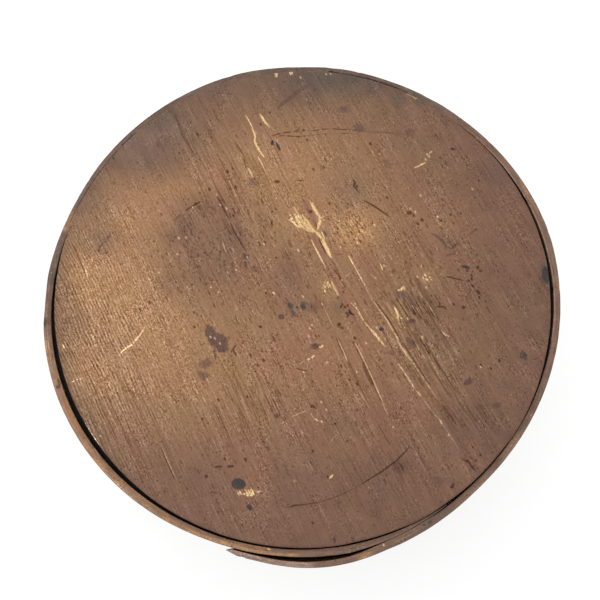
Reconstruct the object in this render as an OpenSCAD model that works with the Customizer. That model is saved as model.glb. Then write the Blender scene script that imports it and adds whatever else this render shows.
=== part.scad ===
// Bentwood pantry box: two bent bands with skived and tacked laps, and two round boards held by brads.
// +Z is up, +X is right and -Y is the front, where both laps lie. The origin is the centre of the
// underside, on the surface that the box stands on. Sizes are in millimetres and degrees.

/* [Lid] */
// Outside diameter of the lid's rim, away from its lap
lid_d = 250; // [180:1:330]
// Height of the lid's rim
lid_band_h = 36; // [24:1:60]
// Thickness of the lid's rim
lid_band_t = 3.3; // [2.8:0.1:5]
// Thickness of the lid board
lid_board_t = 8; // [6:0.5:12]
// Height of the lid board's top above the rim
lid_board_proud = 3.3; // [0:0.1:3.5]

/* [Box] */
// Height of the side band
side_h = 100; // [60:1:180]
// Thickness of the side band
side_t = 3.4; // [2.6:0.1:5]
// Thickness of the bottom board
bottom_t = 9; // [6:0.5:14]
// Width of the eased edges of both boards
board_ease = 0.8; // [0.2:0.1:1.5]

/* [Fit] */
// Radial room between the lid's rim and the tack heads at the end of the side band's lap
lid_fit = 0.8; // [0.6:0.1:3]
// Least room between a board and the band around it
board_play = 0.1; // [0.05:0.05:1]
// Room between the two layers of a lap
lap_clear = 0.25; // [0.05:0.01:0.4]
// Room around each tack and brad in its hole
nail_clear = 0.05; // [0.02:0.01:0.15]

/* [Out of round] */
// How far the bands are sprung oval: out at the long ends, in at the short ends
oval = 1.1; // [0:0.1:2.5]
// Direction of the long ends, across the grain of the lid board
oval_dir = 24; // [0:1:179]
// How far three sides of the bands are fuller than the sides opposite them
egg = 0.25; // [0:0.05:1]
// Direction of the first fuller side
egg_dir = -15; // [-60:1:59]
// Depth of the four flats that hand bending left in the bands
wave = 0.5; // [0:0.1:1]
// Direction of the first crest between the flats
wave_dir = 15; // [0:1:89]

/* [Laps] */
// Direction of the inner end of both bands; each band runs clockwise from it, seen from above
lap_dir = -57; // [-90:1:-30]
// Length of the lid's lap
lid_lap = 104; // [80:1:140]
// Length of the skived inner end of the lid's rim
lid_skive = 49; // [35:1:75]
// Thickness of the outer end of the lid's rim
lid_end_t = 2.1; // [1:0.1:3.2]
// Distance from the inner end of the lid's rim to its root row of tacks
lid_root_row = 32; // [25:1:60]
// How far the lid's lap has sprung open between its root row of tacks and its tip
lap_bow = 2; // [0:0.1:4]
// Length of the side band's lap, skived over its whole length
side_lap = 128; // [90:1:170]
// Thickness of the outer end of the side band
side_end_t = 1.2; // [0.8:0.1:2]
// Distance from the inner end of the side band to its root row of tacks
side_root_row = 40; // [25:1:60]
// Length over which a band lifts before it reaches its own inner end
lap_lead = 24; // [15:1:40]
// Length of the bevel on each outer end
end_bevel = 5; // [3:0.5:8]
// Thickness left at the tip of each end of a band
end_tip_t = 0.3; // [0.2:0.1:0.5]
// Distance from each outer end to its row of tacks
end_row_inset = 10; // [9:0.5:16]

/* [Tacks] */
// Tacks in the end row of the lid's lap; its root row has one fewer
lid_tacks = 3; // [2:1:4]
// Tacks in the end row of the side band's lap; its root row has one fewer
side_tacks = 6; // [4:1:9]
// Diameter of a tack's head
tack_head_d = 4.6; // [3.5:0.1:6]
// Thickness of a tack's head
tack_head_t = 0.9; // [0.6:0.1:1.4]
// How far a tack's head stands out of the wood
tack_proud = 0.3; // [0.1:0.1:0.5]
// Diameter of a tack's shank
tack_d = 1.3; // [1:0.1:1.8]
// Length of the tack's point that is turned over inside
clinch_len = 3.6; // [2.5:0.1:5]
// How far the turned point stands out of the inside face
clinch_proud = 0.25; // [0.1:0.05:0.4]

/* [Brads] */
// Brads around each board
brad_count = 8; // [6:1:14]
// Length of a brad
brad_len = 16; // [11:0.5:25]
// Diameter of a brad's shank
brad_d = 1.5; // [1:0.1:2]
// Diameter of a brad's head
brad_head_d = 2.6; // [2.2:0.1:3.2]
// Thickness of a brad's head
brad_head_t = 0.8; // [0.5:0.1:1.2]
// Distance along the band from a lap to the nearest brad
brad_inset = 24; // [10:1:40]

/* [Hidden] */
$fn = 96;
nail_fn = 32;
// Turn between two corners of a bent band
band_step = 2;
// Share of an outer end's thickness by which its tip stands off the layer below
nose_share = 0.35;
// Share of the bevel's length over which the tip rises
nose_length_share = 0.5;
// How far a cutting shape runs past the surface that it opens
cut_past = 1;

pine_top = [0.50, 0.38, 0.28];
pine_bottom = [0.60, 0.47, 0.34];
rim_brown = [0.46, 0.35, 0.26];
side_brown = [0.48, 0.36, 0.26];
iron = [0.21, 0.19, 0.18];

// Places of a band's sizes in its list
RADIUS = 0;
THICK = 1;
LAP = 2;
SKIVE = 3;
END = 4;
ROOT = 5;
BOW = 6;

lid_in_r = lid_d / 2 - lid_band_t;
side_lap_step = side_end_t + lap_clear;
side_in_r = lid_in_r - lid_fit - tack_proud - side_lap_step - side_t;
lid_rim = [lid_in_r, lid_band_t, lid_lap, lid_skive, lid_end_t, lid_root_row, lap_bow];
side_rim = [side_in_r, side_t, side_lap, side_lap, side_end_t, side_root_row, 0];

// The lid board rests on the top edge of the side band
lid_board_z = side_h;
lid_rim_top = lid_board_z + lid_board_t - lid_board_proud;
lid_rim_z = lid_rim_top - lid_band_h;
// Height of the lid board's edge that the rim covers
lid_seat_h = lid_board_t - lid_board_proud;

// Radial change of every band in direction a
function out_of_round(a) =
    oval * cos(2 * (a - oval_dir)) + egg * cos(3 * (a - egg_dir)) + wave * cos(4 * (a - wave_dir));
deepest_flat = max([for (a = [0:band_step:360]) -out_of_round(a)]);

// Smooth step from 0 to 1
function ease(x) = let (u = min(max(x, 0), 1)) u * u * (3 - 2 * u);
function mix(a, b, x) = a + (b - a) * x;

// Turn that a length along a band takes up
function arc(length, band) = length / band[RADIUS] * 180 / PI;

// Thickness of a band's skived inner end, a degrees past that end
function skived(band, a) = mix(end_tip_t, band[THICK], min(a / arc(band[SKIVE], band), 1));

// Rise of a band's outer layer, a degrees past the band's inner end, clear of the layer under it
function rise(band, a) =
    let (lead = arc(lap_lead, band), under = a < 0 ? 0 : skived(band, a) + lap_clear)
    max(under, (band[THICK] + lap_clear) * ease((a + lead) / (arc(band[SKIVE], band) + lead)));

// Gap of a sprung lap, a degrees past the band's inner end
function bow(band, a) =
    let (from = arc(band[ROOT], band), to = arc(band[LAP], band), u = (a - from) / (to - from))
    u <= 0 || u >= 1 ? 0 : band[BOW] * pow(sin(180 * u), 2);

// Height of an outer end's pointed tip above the layer below, a degrees past the band's inner end
function nose_from(band) = arc(band[LAP] - end_bevel * nose_length_share, band);
function nose(band, a) =
    nose_share * band[END] * max(0, (a - nose_from(band)) / (arc(band[LAP], band) - nose_from(band)));

// Radii of a band's two faces, at a turn from its inner end along the band
function inside_r(band, turn) =
    let (a = turn - 360)
    band[RADIUS] + out_of_round(lap_dir - turn) + rise(band, a) + bow(band, a) + nose(band, a);
function thickness(band, turn) =
    let (a = turn - 360, bevel = arc(end_bevel, band), bevel_from = arc(band[LAP], band) - bevel)
    a < 0 ? skived(band, turn)
    : a < bevel_from ? mix(band[THICK], band[END], a / bevel_from)
    : mix(band[END], end_tip_t + nose_share * band[END], (a - bevel_from) / bevel) - nose(band, a);
function outside_r(band, turn) = inside_r(band, turn) + thickness(band, turn);
function at(r, turn) = r * [cos(lap_dir - turn), sin(lap_dir - turn)];

// One strip bent round past its own inner end
module bent_band(band, h) {
    end = 360 + arc(band[LAP], band);
    bevel_from = end - arc(end_bevel, band);
    turns = [for (t = [0:band_step:bevel_from]) t, bevel_from, 360 + nose_from(band), end];
    outside = [for (t = turns) at(outside_r(band, t), t)];
    inside = [for (i = [len(turns) - 1:-1:0]) at(inside_r(band, turns[i]), turns[i])];
    linear_extrude(h) polygon(concat(outside, inside));
}

// A round board with eased edges
module board(r, t) {
    e = board_ease;
    rotate_extrude() polygon([[0, 0], [r - e, 0], [r, e], [r, t - e], [r - e, t], [0, t]]);
}

// A tack along +X through a grip of wood, with a low peaked head outside and its point turned down inside.
// With room, it is the hole that the tack sits in.
module tack(grip, room = 0) {
    r = tack_d / 2 + room;
    head_r = tack_head_d / 2 + room;
    leg_x = tack_d / 2 - clinch_proud;
    seat_x = grip + tack_proud - tack_head_t - room;
    past = room > 0 ? cut_past : 0;
    translate([leg_x, 0, 0]) rotate([0, 90, 0]) cylinder(r = r, h = grip - leg_x, $fn = nail_fn);
    translate([leg_x, 0, -clinch_len - room])
        cylinder(r = r, h = clinch_len + 2 * room + r, $fn = nail_fn);
    translate([seat_x, 0, 0]) rotate([0, 90, 0]) {
        cylinder(r = head_r, h = tack_head_t / 2 + room + past, $fn = nail_fn);
        translate([0, 0, tack_head_t / 2])
            cylinder(r1 = head_r, r2 = head_r / 2, h = tack_head_t / 2, $fn = nail_fn);
    }
}

// Tacks through a lap, at a distance along it from the inner end and at a list of heights
module tack_row(band, along, heights, room = 0) {
    a = arc(along, band);
    grip = outside_r(band, 360 + a) - inside_r(band, a);
    for (z = heights)
        rotate([0, 0, lap_dir - a]) translate([inside_r(band, a), 0, z]) tack(grip, room);
}

// A brad along -X from the face of a band into a board. With room, it is the hole that the brad sits in.
module brad(room = 0) {
    past = room > 0 ? cut_past : 0;
    rotate([0, -90, 0]) {
        cylinder(d = brad_d + 2 * room, h = brad_len + room, $fn = nail_fn);
        translate([0, 0, -past])
            cylinder(d = brad_head_d + 2 * room, h = brad_head_t + room + past, $fn = nail_fn);
    }
}

// Brads spread along the single layer of a band, clear of its lap
module brad_ring(band, z, room = 0) {
    from = arc(band[LAP] + brad_inset, band);
    to = 360 - arc(lap_lead + brad_inset, band);
    for (i = [0:brad_count - 1]) {
        turn = mix(from, to, i / (brad_count - 1));
        rotate([0, 0, lap_dir - turn]) translate([outside_r(band, turn), 0, z]) brad(room);
    }
}

// Heights of an end row of n tacks, and of the root row between them
function end_heights(n, low, high) = [for (i = [0:n - 1]) mix(low, high, (i + 0.5) / n)];
function root_heights(n, low, high) = [for (i = [1:n - 1]) mix(low, high, i / n)];

lid_low = lid_rim_z;
lid_high = lid_board_z;
module lid_end_row(room = 0) {
    tack_row(lid_rim, lid_lap - end_row_inset, end_heights(lid_tacks, lid_low, lid_high), room);
}
module lid_root_row(room = 0) {
    tack_row(lid_rim, lid_root_row, root_heights(lid_tacks, lid_low, lid_high), room);
}
module side_end_row(room = 0) {
    tack_row(side_rim, side_lap - end_row_inset, end_heights(side_tacks, bottom_t, side_h), room);
}
module side_root_row(room = 0) {
    tack_row(side_rim, side_root_row, root_heights(side_tacks, bottom_t, side_h), room);
}
module lid_brad_ring(room = 0) {
    brad_ring(lid_rim, lid_board_z + lid_seat_h / 2, room);
}
module bottom_brad_ring(room = 0) {
    brad_ring(side_rim, bottom_t / 2, room);
}

module lid_board() {
    color(pine_top) difference() {
        translate([0, 0, lid_board_z]) board(lid_in_r - deepest_flat - board_play, lid_board_t);
        lid_brad_ring(nail_clear);
    }
}

module lid_band() {
    color(rim_brown) difference() {
        translate([0, 0, lid_rim_z]) bent_band(lid_rim, lid_band_h);
        lid_end_row(nail_clear);
        lid_root_row(nail_clear);
        lid_brad_ring(nail_clear);
    }
}

module lid_lap_end_tacks() {
    color(iron) lid_end_row();
}

module lid_lap_root_tacks() {
    color(iron) lid_root_row();
}

module lid_brads() {
    color(iron) lid_brad_ring();
}

module side_band() {
    color(side_brown) difference() {
        bent_band(side_rim, side_h);
        side_end_row(nail_clear);
        side_root_row(nail_clear);
        bottom_brad_ring(nail_clear);
    }
}

module side_lap_end_tacks() {
    color(iron) side_end_row();
}

module side_lap_root_tacks() {
    color(iron) side_root_row();
}

module bottom_board() {
    color(pine_bottom) difference() {
        board(side_in_r - deepest_flat - board_play, bottom_t);
        bottom_brad_ring(nail_clear);
    }
}

module bottom_brads() {
    color(iron) bottom_brad_ring();
}

lid_board();
lid_band();
lid_lap_end_tacks();
lid_lap_root_tacks();
lid_brads();
side_band();
side_lap_end_tacks();
side_lap_root_tacks();
bottom_board();
bottom_brads();
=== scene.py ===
"""Bentwood pantry box: fine wood and iron pieces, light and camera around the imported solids.

Named values are in millimetres, degrees and pixels of the 600 x 600 photograph; Blender has metres.
+Z is up, +X is right and -Y is the front, where both laps lie.
"""

import math

import bmesh
import bpy
import numpy as np
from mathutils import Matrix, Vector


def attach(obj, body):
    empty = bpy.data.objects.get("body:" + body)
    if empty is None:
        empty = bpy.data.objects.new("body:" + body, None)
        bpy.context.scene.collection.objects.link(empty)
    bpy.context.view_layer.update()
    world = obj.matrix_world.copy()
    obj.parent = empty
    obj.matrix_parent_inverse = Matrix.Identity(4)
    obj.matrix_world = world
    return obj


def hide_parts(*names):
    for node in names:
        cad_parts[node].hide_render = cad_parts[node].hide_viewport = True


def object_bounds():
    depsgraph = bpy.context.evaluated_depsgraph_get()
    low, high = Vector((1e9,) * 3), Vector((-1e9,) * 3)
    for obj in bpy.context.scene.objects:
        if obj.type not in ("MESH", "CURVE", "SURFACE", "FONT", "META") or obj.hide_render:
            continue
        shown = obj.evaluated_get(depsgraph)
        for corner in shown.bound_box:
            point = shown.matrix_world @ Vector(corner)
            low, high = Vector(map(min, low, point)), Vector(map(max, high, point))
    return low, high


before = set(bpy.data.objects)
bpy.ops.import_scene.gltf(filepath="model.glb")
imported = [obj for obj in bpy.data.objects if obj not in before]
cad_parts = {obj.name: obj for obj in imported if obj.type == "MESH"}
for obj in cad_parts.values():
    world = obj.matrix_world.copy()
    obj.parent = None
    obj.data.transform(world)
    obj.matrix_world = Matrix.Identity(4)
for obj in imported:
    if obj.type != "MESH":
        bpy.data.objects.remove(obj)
cad_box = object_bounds()

MM = 0.001

# Sizes of the part's source
LID_D = 250.0
LID_BAND_H = 36.0
LID_BAND_T = 3.3
LID_BOARD_T = 8.0
LID_BOARD_PROUD = 3.3
SIDE_H = 100.0
SIDE_T = 3.4
BOTTOM_T = 9.0
LID_FIT = 0.8
BOARD_PLAY = 0.1
LAP_CLEAR = 0.25
OVAL = 1.1
OVAL_DIR = 24.0
EGG = 0.25
EGG_DIR = -15.0
WAVE = 0.5
WAVE_DIR = 15.0
LAP_DIR = -57.0
LID_LAP = 104.0
LID_SKIVE = 49.0
LID_END_T = 2.1
LID_ROOT_ROW = 32.0
SIDE_LAP = 128.0
SIDE_END_T = 1.2
SIDE_ROOT_ROW = 40.0
LAP_LEAD = 24.0
END_BEVEL = 5.0
END_TIP_T = 0.3
END_ROW_INSET = 10.0
NOSE_SHARE = 0.35
NOSE_LENGTH_SHARE = 0.5
LID_TACKS = 3
SIDE_TACKS = 6
TACK_HEAD_D = 4.6
TACK_HEAD_T = 0.9
TACK_PROUD = 0.3
TACK_D = 1.3
CLINCH_LEN = 3.6
CLINCH_PROUD = 0.25
BRAD_COUNT = 8
BRAD_LEN = 16.0
BRAD_D = 1.5
BRAD_HEAD_D = 2.6
BRAD_INSET = 24.0

LID_IN_R = LID_D / 2 - LID_BAND_T
SIDE_IN_R = LID_IN_R - LID_FIT - TACK_PROUD - SIDE_END_T - LAP_CLEAR - SIDE_T
LID_BOARD_Z = SIDE_H
LID_TOP = LID_BOARD_Z + LID_BOARD_T
LID_RIM_TOP = LID_TOP - LID_BOARD_PROUD
LID_RIM_Z = LID_RIM_TOP - LID_BAND_H
LID_BRAD_Z = LID_BOARD_Z + (LID_BOARD_T - LID_BOARD_PROUD) / 2
BOTTOM_BRAD_Z = BOTTOM_T / 2

# The lid's sprung lap: its bow, lean, sharpness, lift of the tip, line between layers and run to close it
LAP_SPRING = 2.02
BOW_LEAN = 0.92
BOW_SHARP = 1.4
TIP_LIFT = 0.35
TIP_FROM = 0.75
LAP_LINE = 0.14
LAP_CLOSES = 6.0

# The camera that took the photograph
PHOTO_SIDE = 600.0
FOCAL = 850.0
CAMERA_AT = np.array((-1.33, -118.85, LID_TOP + 395.76))
CAMERA_DIP = 73.95
SENSOR = 36.0

# Direction of the grain in both boards
GRAIN_DIR = -63.0


def rad(degrees):
    return np.radians(degrees)


def mix(a, b, share):
    return a + (b - a) * share


def ease(x):
    """Smooth step from 0 to 1."""
    u = np.clip(x, 0.0, 1.0)
    return u * u * (3.0 - 2.0 * u)


def fade(x, full, none):
    """1 up to full, 0 from none on, smooth between them."""
    return 1.0 - ease((x - full) / (none - full))


class Noise:
    """Smooth random values in 0 to 1 over a plane, the same in every run."""

    SIDE = 257
    SHIFT_X = 17.3
    SHIFT_Y = 5.7

    def __init__(self, seed):
        self.table = np.random.default_rng(seed).random((self.SIDE, self.SIDE))

    def at(self, x, y):
        xi = np.floor(x).astype(int)
        yi = np.floor(y).astype(int)
        u = ease(x - xi)
        v = ease(y - yi)
        x0 = xi % self.SIDE
        y0 = yi % self.SIDE
        x1 = (xi + 1) % self.SIDE
        y1 = (yi + 1) % self.SIDE
        low = mix(self.table[y0, x0], self.table[y0, x1], u)
        high = mix(self.table[y1, x0], self.table[y1, x1], u)
        return mix(low, high, v)

    def rough(self, x, y, octaves=3):
        total = 0.0
        share = 1.0
        weight = 0.0
        for octave in range(octaves):
            at_x = x * 2.0**octave + self.SHIFT_X * octave
            at_y = y * 2.0**octave + self.SHIFT_Y * octave
            total = total + share * self.at(at_x, at_y)
            weight += share
            share *= 0.5
        return total / weight


# Bent bands


def out_of_round(angle):
    return (
        OVAL * np.cos(rad(2 * (angle - OVAL_DIR)))
        + EGG * np.cos(rad(3 * (angle - EGG_DIR)))
        + WAVE * np.cos(rad(4 * (angle - WAVE_DIR)))
    )


class Band:
    """A strip bent round past its own inner end, by the rules of the part's source."""

    def __init__(self, radius, thick, lap, skive, end, root, bow):
        self.radius = radius
        self.thick = thick
        self.lap = lap
        self.skive = skive
        self.end = end
        self.root = root
        self.bow = bow

    def arc(self, length):
        return length / self.radius * 180.0 / math.pi

    def skived(self, past):
        return mix(END_TIP_T, self.thick, np.minimum(past / self.arc(self.skive), 1.0))

    def rise(self, past):
        lead = self.arc(LAP_LEAD)
        under = np.where(past < 0, 0.0, self.skived(np.maximum(past, 0.0)) + LAP_CLEAR)
        lift = (self.thick + LAP_CLEAR) * ease((past + lead) / (self.arc(self.skive) + lead))
        return np.maximum(under, lift)

    def gap(self, past, high):
        """How far a sprung lap stands open, at a share of the band's height: widest at the top."""
        start = self.arc(self.root)
        share = np.clip((past - start) / (self.arc(self.lap) - start), 0.0, 1.0)
        bowed = self.bow * np.sin(math.pi * share**BOW_LEAN) ** BOW_SHARP
        lifted = TIP_LIFT * ease((share - TIP_FROM) / (1.0 - TIP_FROM)) if self.bow else 0.0
        return (bowed + lifted) * ease(high)

    def nose(self, past):
        start = self.arc(self.lap - END_BEVEL * NOSE_LENGTH_SHARE)
        share = (past - start) / (self.arc(self.lap) - start)
        return NOSE_SHARE * self.end * np.maximum(0.0, share)

    def inside_r(self, turn, high=1.0):
        past = turn - 360.0
        wall = self.radius + out_of_round(LAP_DIR - turn)
        return wall + self.rise(past) + self.gap(past, high) + self.nose(past) - self.fill(past)

    def fill(self, past):
        """How far the outer layer reaches into the room between the layers, to leave a thin line."""
        inner = self.skived(np.maximum(past, 0.0))
        return np.maximum(self.rise(past) - inner - LAP_LINE, 0.0) * ease(past / LAP_CLOSES)

    def thickness(self, turn):
        past = turn - 360.0
        bevel = self.arc(END_BEVEL)
        bevel_from = self.arc(self.lap) - bevel
        lapped = mix(self.thick, self.end, past / bevel_from)
        tip = END_TIP_T + NOSE_SHARE * self.end
        bevelled = mix(self.end, tip, (past - bevel_from) / bevel) - self.nose(past)
        outer = np.where(past < bevel_from, lapped, bevelled)
        return np.where(past < 0, self.skived(turn), outer) + self.fill(past)

    def outside_r(self, turn, high=1.0):
        return self.inside_r(turn, high) + self.thickness(turn)

    def end_turn(self):
        return 360.0 + self.arc(self.lap)

    def place(self, radius, turn, z):
        angle = rad(LAP_DIR - turn)
        return np.stack((radius * np.cos(angle), radius * np.sin(angle), z + 0.0 * radius), axis=-1)


LID_RIM = Band(LID_IN_R, LID_BAND_T, LID_LAP, LID_SKIVE, LID_END_T, LID_ROOT_ROW, LAP_SPRING)
SIDE_RIM = Band(SIDE_IN_R, SIDE_T, SIDE_LAP, SIDE_LAP, SIDE_END_T, SIDE_ROOT_ROW, 0.0)
DEEPEST_FLAT = float(np.max(-out_of_round(np.arange(0.0, 361.0, 2.0))))
LID_BOARD_R = LID_IN_R - DEEPEST_FLAT - BOARD_PLAY
BOTTOM_BOARD_R = SIDE_IN_R - DEEPEST_FLAT - BOARD_PLAY

# Materials

# Layers that blend into the wood, and layers whose borders the wood's grain makes ragged
# The last soft layer is painted shade in the slit between the lid board and its band
SOFT_LAYERS = ("gold", "plum", "grime", "red", "rose", "pits", "fresh", "slit_shade", "hatch", "comb")
# The ragged layer for dents also holds painted shade on the rim's top beside the lid board
RAGGED_LAYERS = ("stain", "ink", "raw", "groove", "ridge", "scratch", "dent")
LAYERS = SOFT_LAYERS + RAGGED_LAYERS

# Brightness of a white surface in this light
LIGHT_LEVEL = 1.55

# The screen's curve from colour values to light
CURVE_KNEE = 0.04045
CURVE_SLOPE = 12.92
CURVE_SHIFT = 0.055
CURVE_POWER = 2.4


def linear(red, green, blue):
    """Colour of a surface that comes out in these 0 to 255 screen values."""
    screen = np.array((red, green, blue)) / 255.0
    curved = ((screen + CURVE_SHIFT) / (1.0 + CURVE_SHIFT)) ** CURVE_POWER
    light = np.where(screen <= CURVE_KNEE, screen / CURVE_SLOPE, curved) / LIGHT_LEVEL
    return (float(light[0]), float(light[1]), float(light[2]), 1.0)


# Fine light and shade: a plain screen curve, the weights of a colour's level and the darkest tone
SCREEN_GAMMA = 2.2
EVEN_SHARES = (1 / 3, 1 / 3, 1 / 3)
DARKEST = (0.06, 0.05, 0.05)


class Graph:
    """A node material in the making."""

    def __init__(self, name):
        self.material = bpy.data.materials.new(name)
        self.material.use_nodes = True
        self.tree = self.material.node_tree
        self.tree.nodes.clear()

    def feed(self, socket, value):
        if isinstance(value, bpy.types.NodeSocket):
            self.tree.links.new(value, socket)
        else:
            socket.default_value = value

    def node(self, kind, inputs, **settings):
        made = self.tree.nodes.new(kind)
        for key, value in settings.items():
            setattr(made, key, value)
        for key, value in inputs.items():
            self.feed(made.inputs[key], value)
        return made

    def layer(self, name):
        return self.node("ShaderNodeAttribute", {}, attribute_name=name).outputs["Fac"]

    def grain(self):
        return self.node("ShaderNodeAttribute", {}, attribute_name="grain").outputs["Vector"]

    def noise(self, place, along, across, detail=2.0, rough=0.5):
        """Noise with so many cells to a millimetre along and across the grain."""
        stretched = self.vector("MULTIPLY", place, (along, across, across)).outputs[0]
        inputs = {"Vector": stretched, "Scale": 1.0, "Detail": detail, "Roughness": rough}
        return self.node("ShaderNodeTexNoise", inputs).outputs["Fac"]

    def vector(self, operation, a, b):
        return self.node("ShaderNodeVectorMath", {0: a, 1: b}, operation=operation)

    def math(self, operation, a, b, clamp=False):
        return self.node("ShaderNodeMath", {0: a, 1: b}, operation=operation, use_clamp=clamp).outputs[0]

    def centred(self, value, amount):
        """A noise value about zero, times an amount."""
        made = self.node("ShaderNodeMath", {0: value, 1: amount, 2: -0.5 * amount}, operation="MULTIPLY_ADD")
        return made.outputs[0]

    def ramp(self, value, low, high, to_low=0.0, to_high=1.0):
        inputs = {"Value": value, "From Min": low, "From Max": high, "To Min": to_low, "To Max": to_high}
        return self.node("ShaderNodeMapRange", inputs, interpolation_type="SMOOTHSTEP").outputs["Result"]

    def blend(self, share, a, b, kind="MIX"):
        made = self.node("ShaderNodeMix", {0: share, 6: a, 7: b}, data_type="RGBA", blend_type=kind)
        return made.outputs[2]

    def lighten(self, colour, change):
        """Colour with fine light or shade that is the same for red, green and blue on a screen."""
        soft = self.node("ShaderNodeGamma", {"Color": colour, "Gamma": 1.0 / SCREEN_GAMMA}).outputs[0]
        level = self.vector("DOT_PRODUCT", soft, EVEN_SHARES).outputs["Value"]
        step = self.math("MULTIPLY", self.math("MULTIPLY", level, change), 1.0 / SCREEN_GAMMA)
        lit = self.vector("ADD", soft, step).outputs[0]
        held = self.vector("MAXIMUM", lit, DARKEST).outputs[0]
        return self.node("ShaderNodeGamma", {"Color": held, "Gamma": SCREEN_GAMMA}).outputs[0]

    def finish(self, inputs):
        shader = self.node("ShaderNodeBsdfPrincipled", inputs)
        output = self.node("ShaderNodeOutputMaterial", {})
        self.tree.links.new(shader.outputs[0], output.inputs[0])
        return self.material


GOLD = linear(188, 140, 94)
PLUM = linear(106, 76, 61)
GRIME = linear(88, 74, 64)
STAIN = linear(95, 64, 52)
INK = linear(56, 46, 40)
RAW = linear(236, 198, 142)
RED = linear(149, 101, 77)
FRESH = linear(196, 152, 102)
ROSE = linear(166, 136, 123)
# Near black for painted shade in the slit between the lid board and its band
SLIT_SHADE = linear(14, 14, 14)


# Noise in the wood: cells to a millimetre along the grain and across it, detail and roughness
WOOD_NOISE = {
    "streak": (0.02, 0.42, 4.0, 0.55),
    "fibre": (0.045, 1.7, 2.0, 0.6),
    "speck": (1.25, 1.7, 1.0),
    "cloud": (0.11, 0.14, 4.0, 0.6),
    "patch": (0.035, 0.06, 2.0),
    "cluster": (0.09, 0.15, 2.0),
    "pore": (0.8, 1.5, 0.0),
    "glint": (0.95, 1.65, 0.0),
    "pit": (0.6, 0.9, 0.0),
    "comb": (0.06, 1.4, 1.0),
    "drift": (0.03, 0.06, 2.0),
    "rows": (0.45, 0.1, 1.0),
    "dash": (0.24, 0.5, 1.0),
    "tint": (0.03, 0.05, 4.0, 0.65),
}

# Values from which a noise or a layer comes in, and at which it is full
WOOD_RAMPS = {
    "pore": (0.67, 0.77),
    "glint": (0.69, 0.78),
    "patch": (0.3, 0.7),
    "cluster": (0.34, 0.66),
    "pit": (0.75, 0.85),
    "dash": (0.36, 0.66),
    "groove": (0.12, 0.55),
    "ridge": (0.12, 0.55),
    "scratch": (0.15, 0.8),
    "dent": (0.15, 0.75),
    "tint": (0.36, 0.64),
    "stain": (0.15, 0.8),
    "ink": (0.3, 0.65),
    "raw": (0.2, 0.8),
    "dull": (0.2, 0.8),
}

# How much light or shade each kind of relief gives
PORE_SHADE = 2.0
GLINT_LIGHT = 2.2
PATCH_SHARES = (0.65, 1.3)
CLUSTER_SHARES = (0.5, 1.55)
PIT_SHADE = 0.6
MORE_PITS = 0.06
COMB_SHADE = 2.6
GROOVE_SHADE = 0.62
RIDGE_LIGHT = 0.45
SCRATCH_LIGHT = 0.5
SCRATCH_BARE = 0.3
DENT_SHADE = 1.15

# Sawn lines: turn across a millimetre, drift, shares where dashes are faint and full, rows and specks
HATCH_TURNS = 2 * math.pi / 1.45
HATCH_DRIFT = 26.0
HATCH_FAINT = 0.05
HATCH_FULL = 0.6
HATCH_ROWS = 0.5
HATCH_SPECKS = 1.3

# How uneven borders, tints and stains are
RAGGED = 0.5
SLIGHT = 0.5
UNEVEN_CLOUDS = 1.0
UNEVEN_SPECKS = 0.9
STAIN_CLOUDS = 0.3

# Surface
BUMP = {"Strength": 0.4, "Distance": 0.0002}
WOOD_DULL = (0.5, 0.68)
RAW_DULL = 0.15
WOOD_SHINE = 0.25


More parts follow.
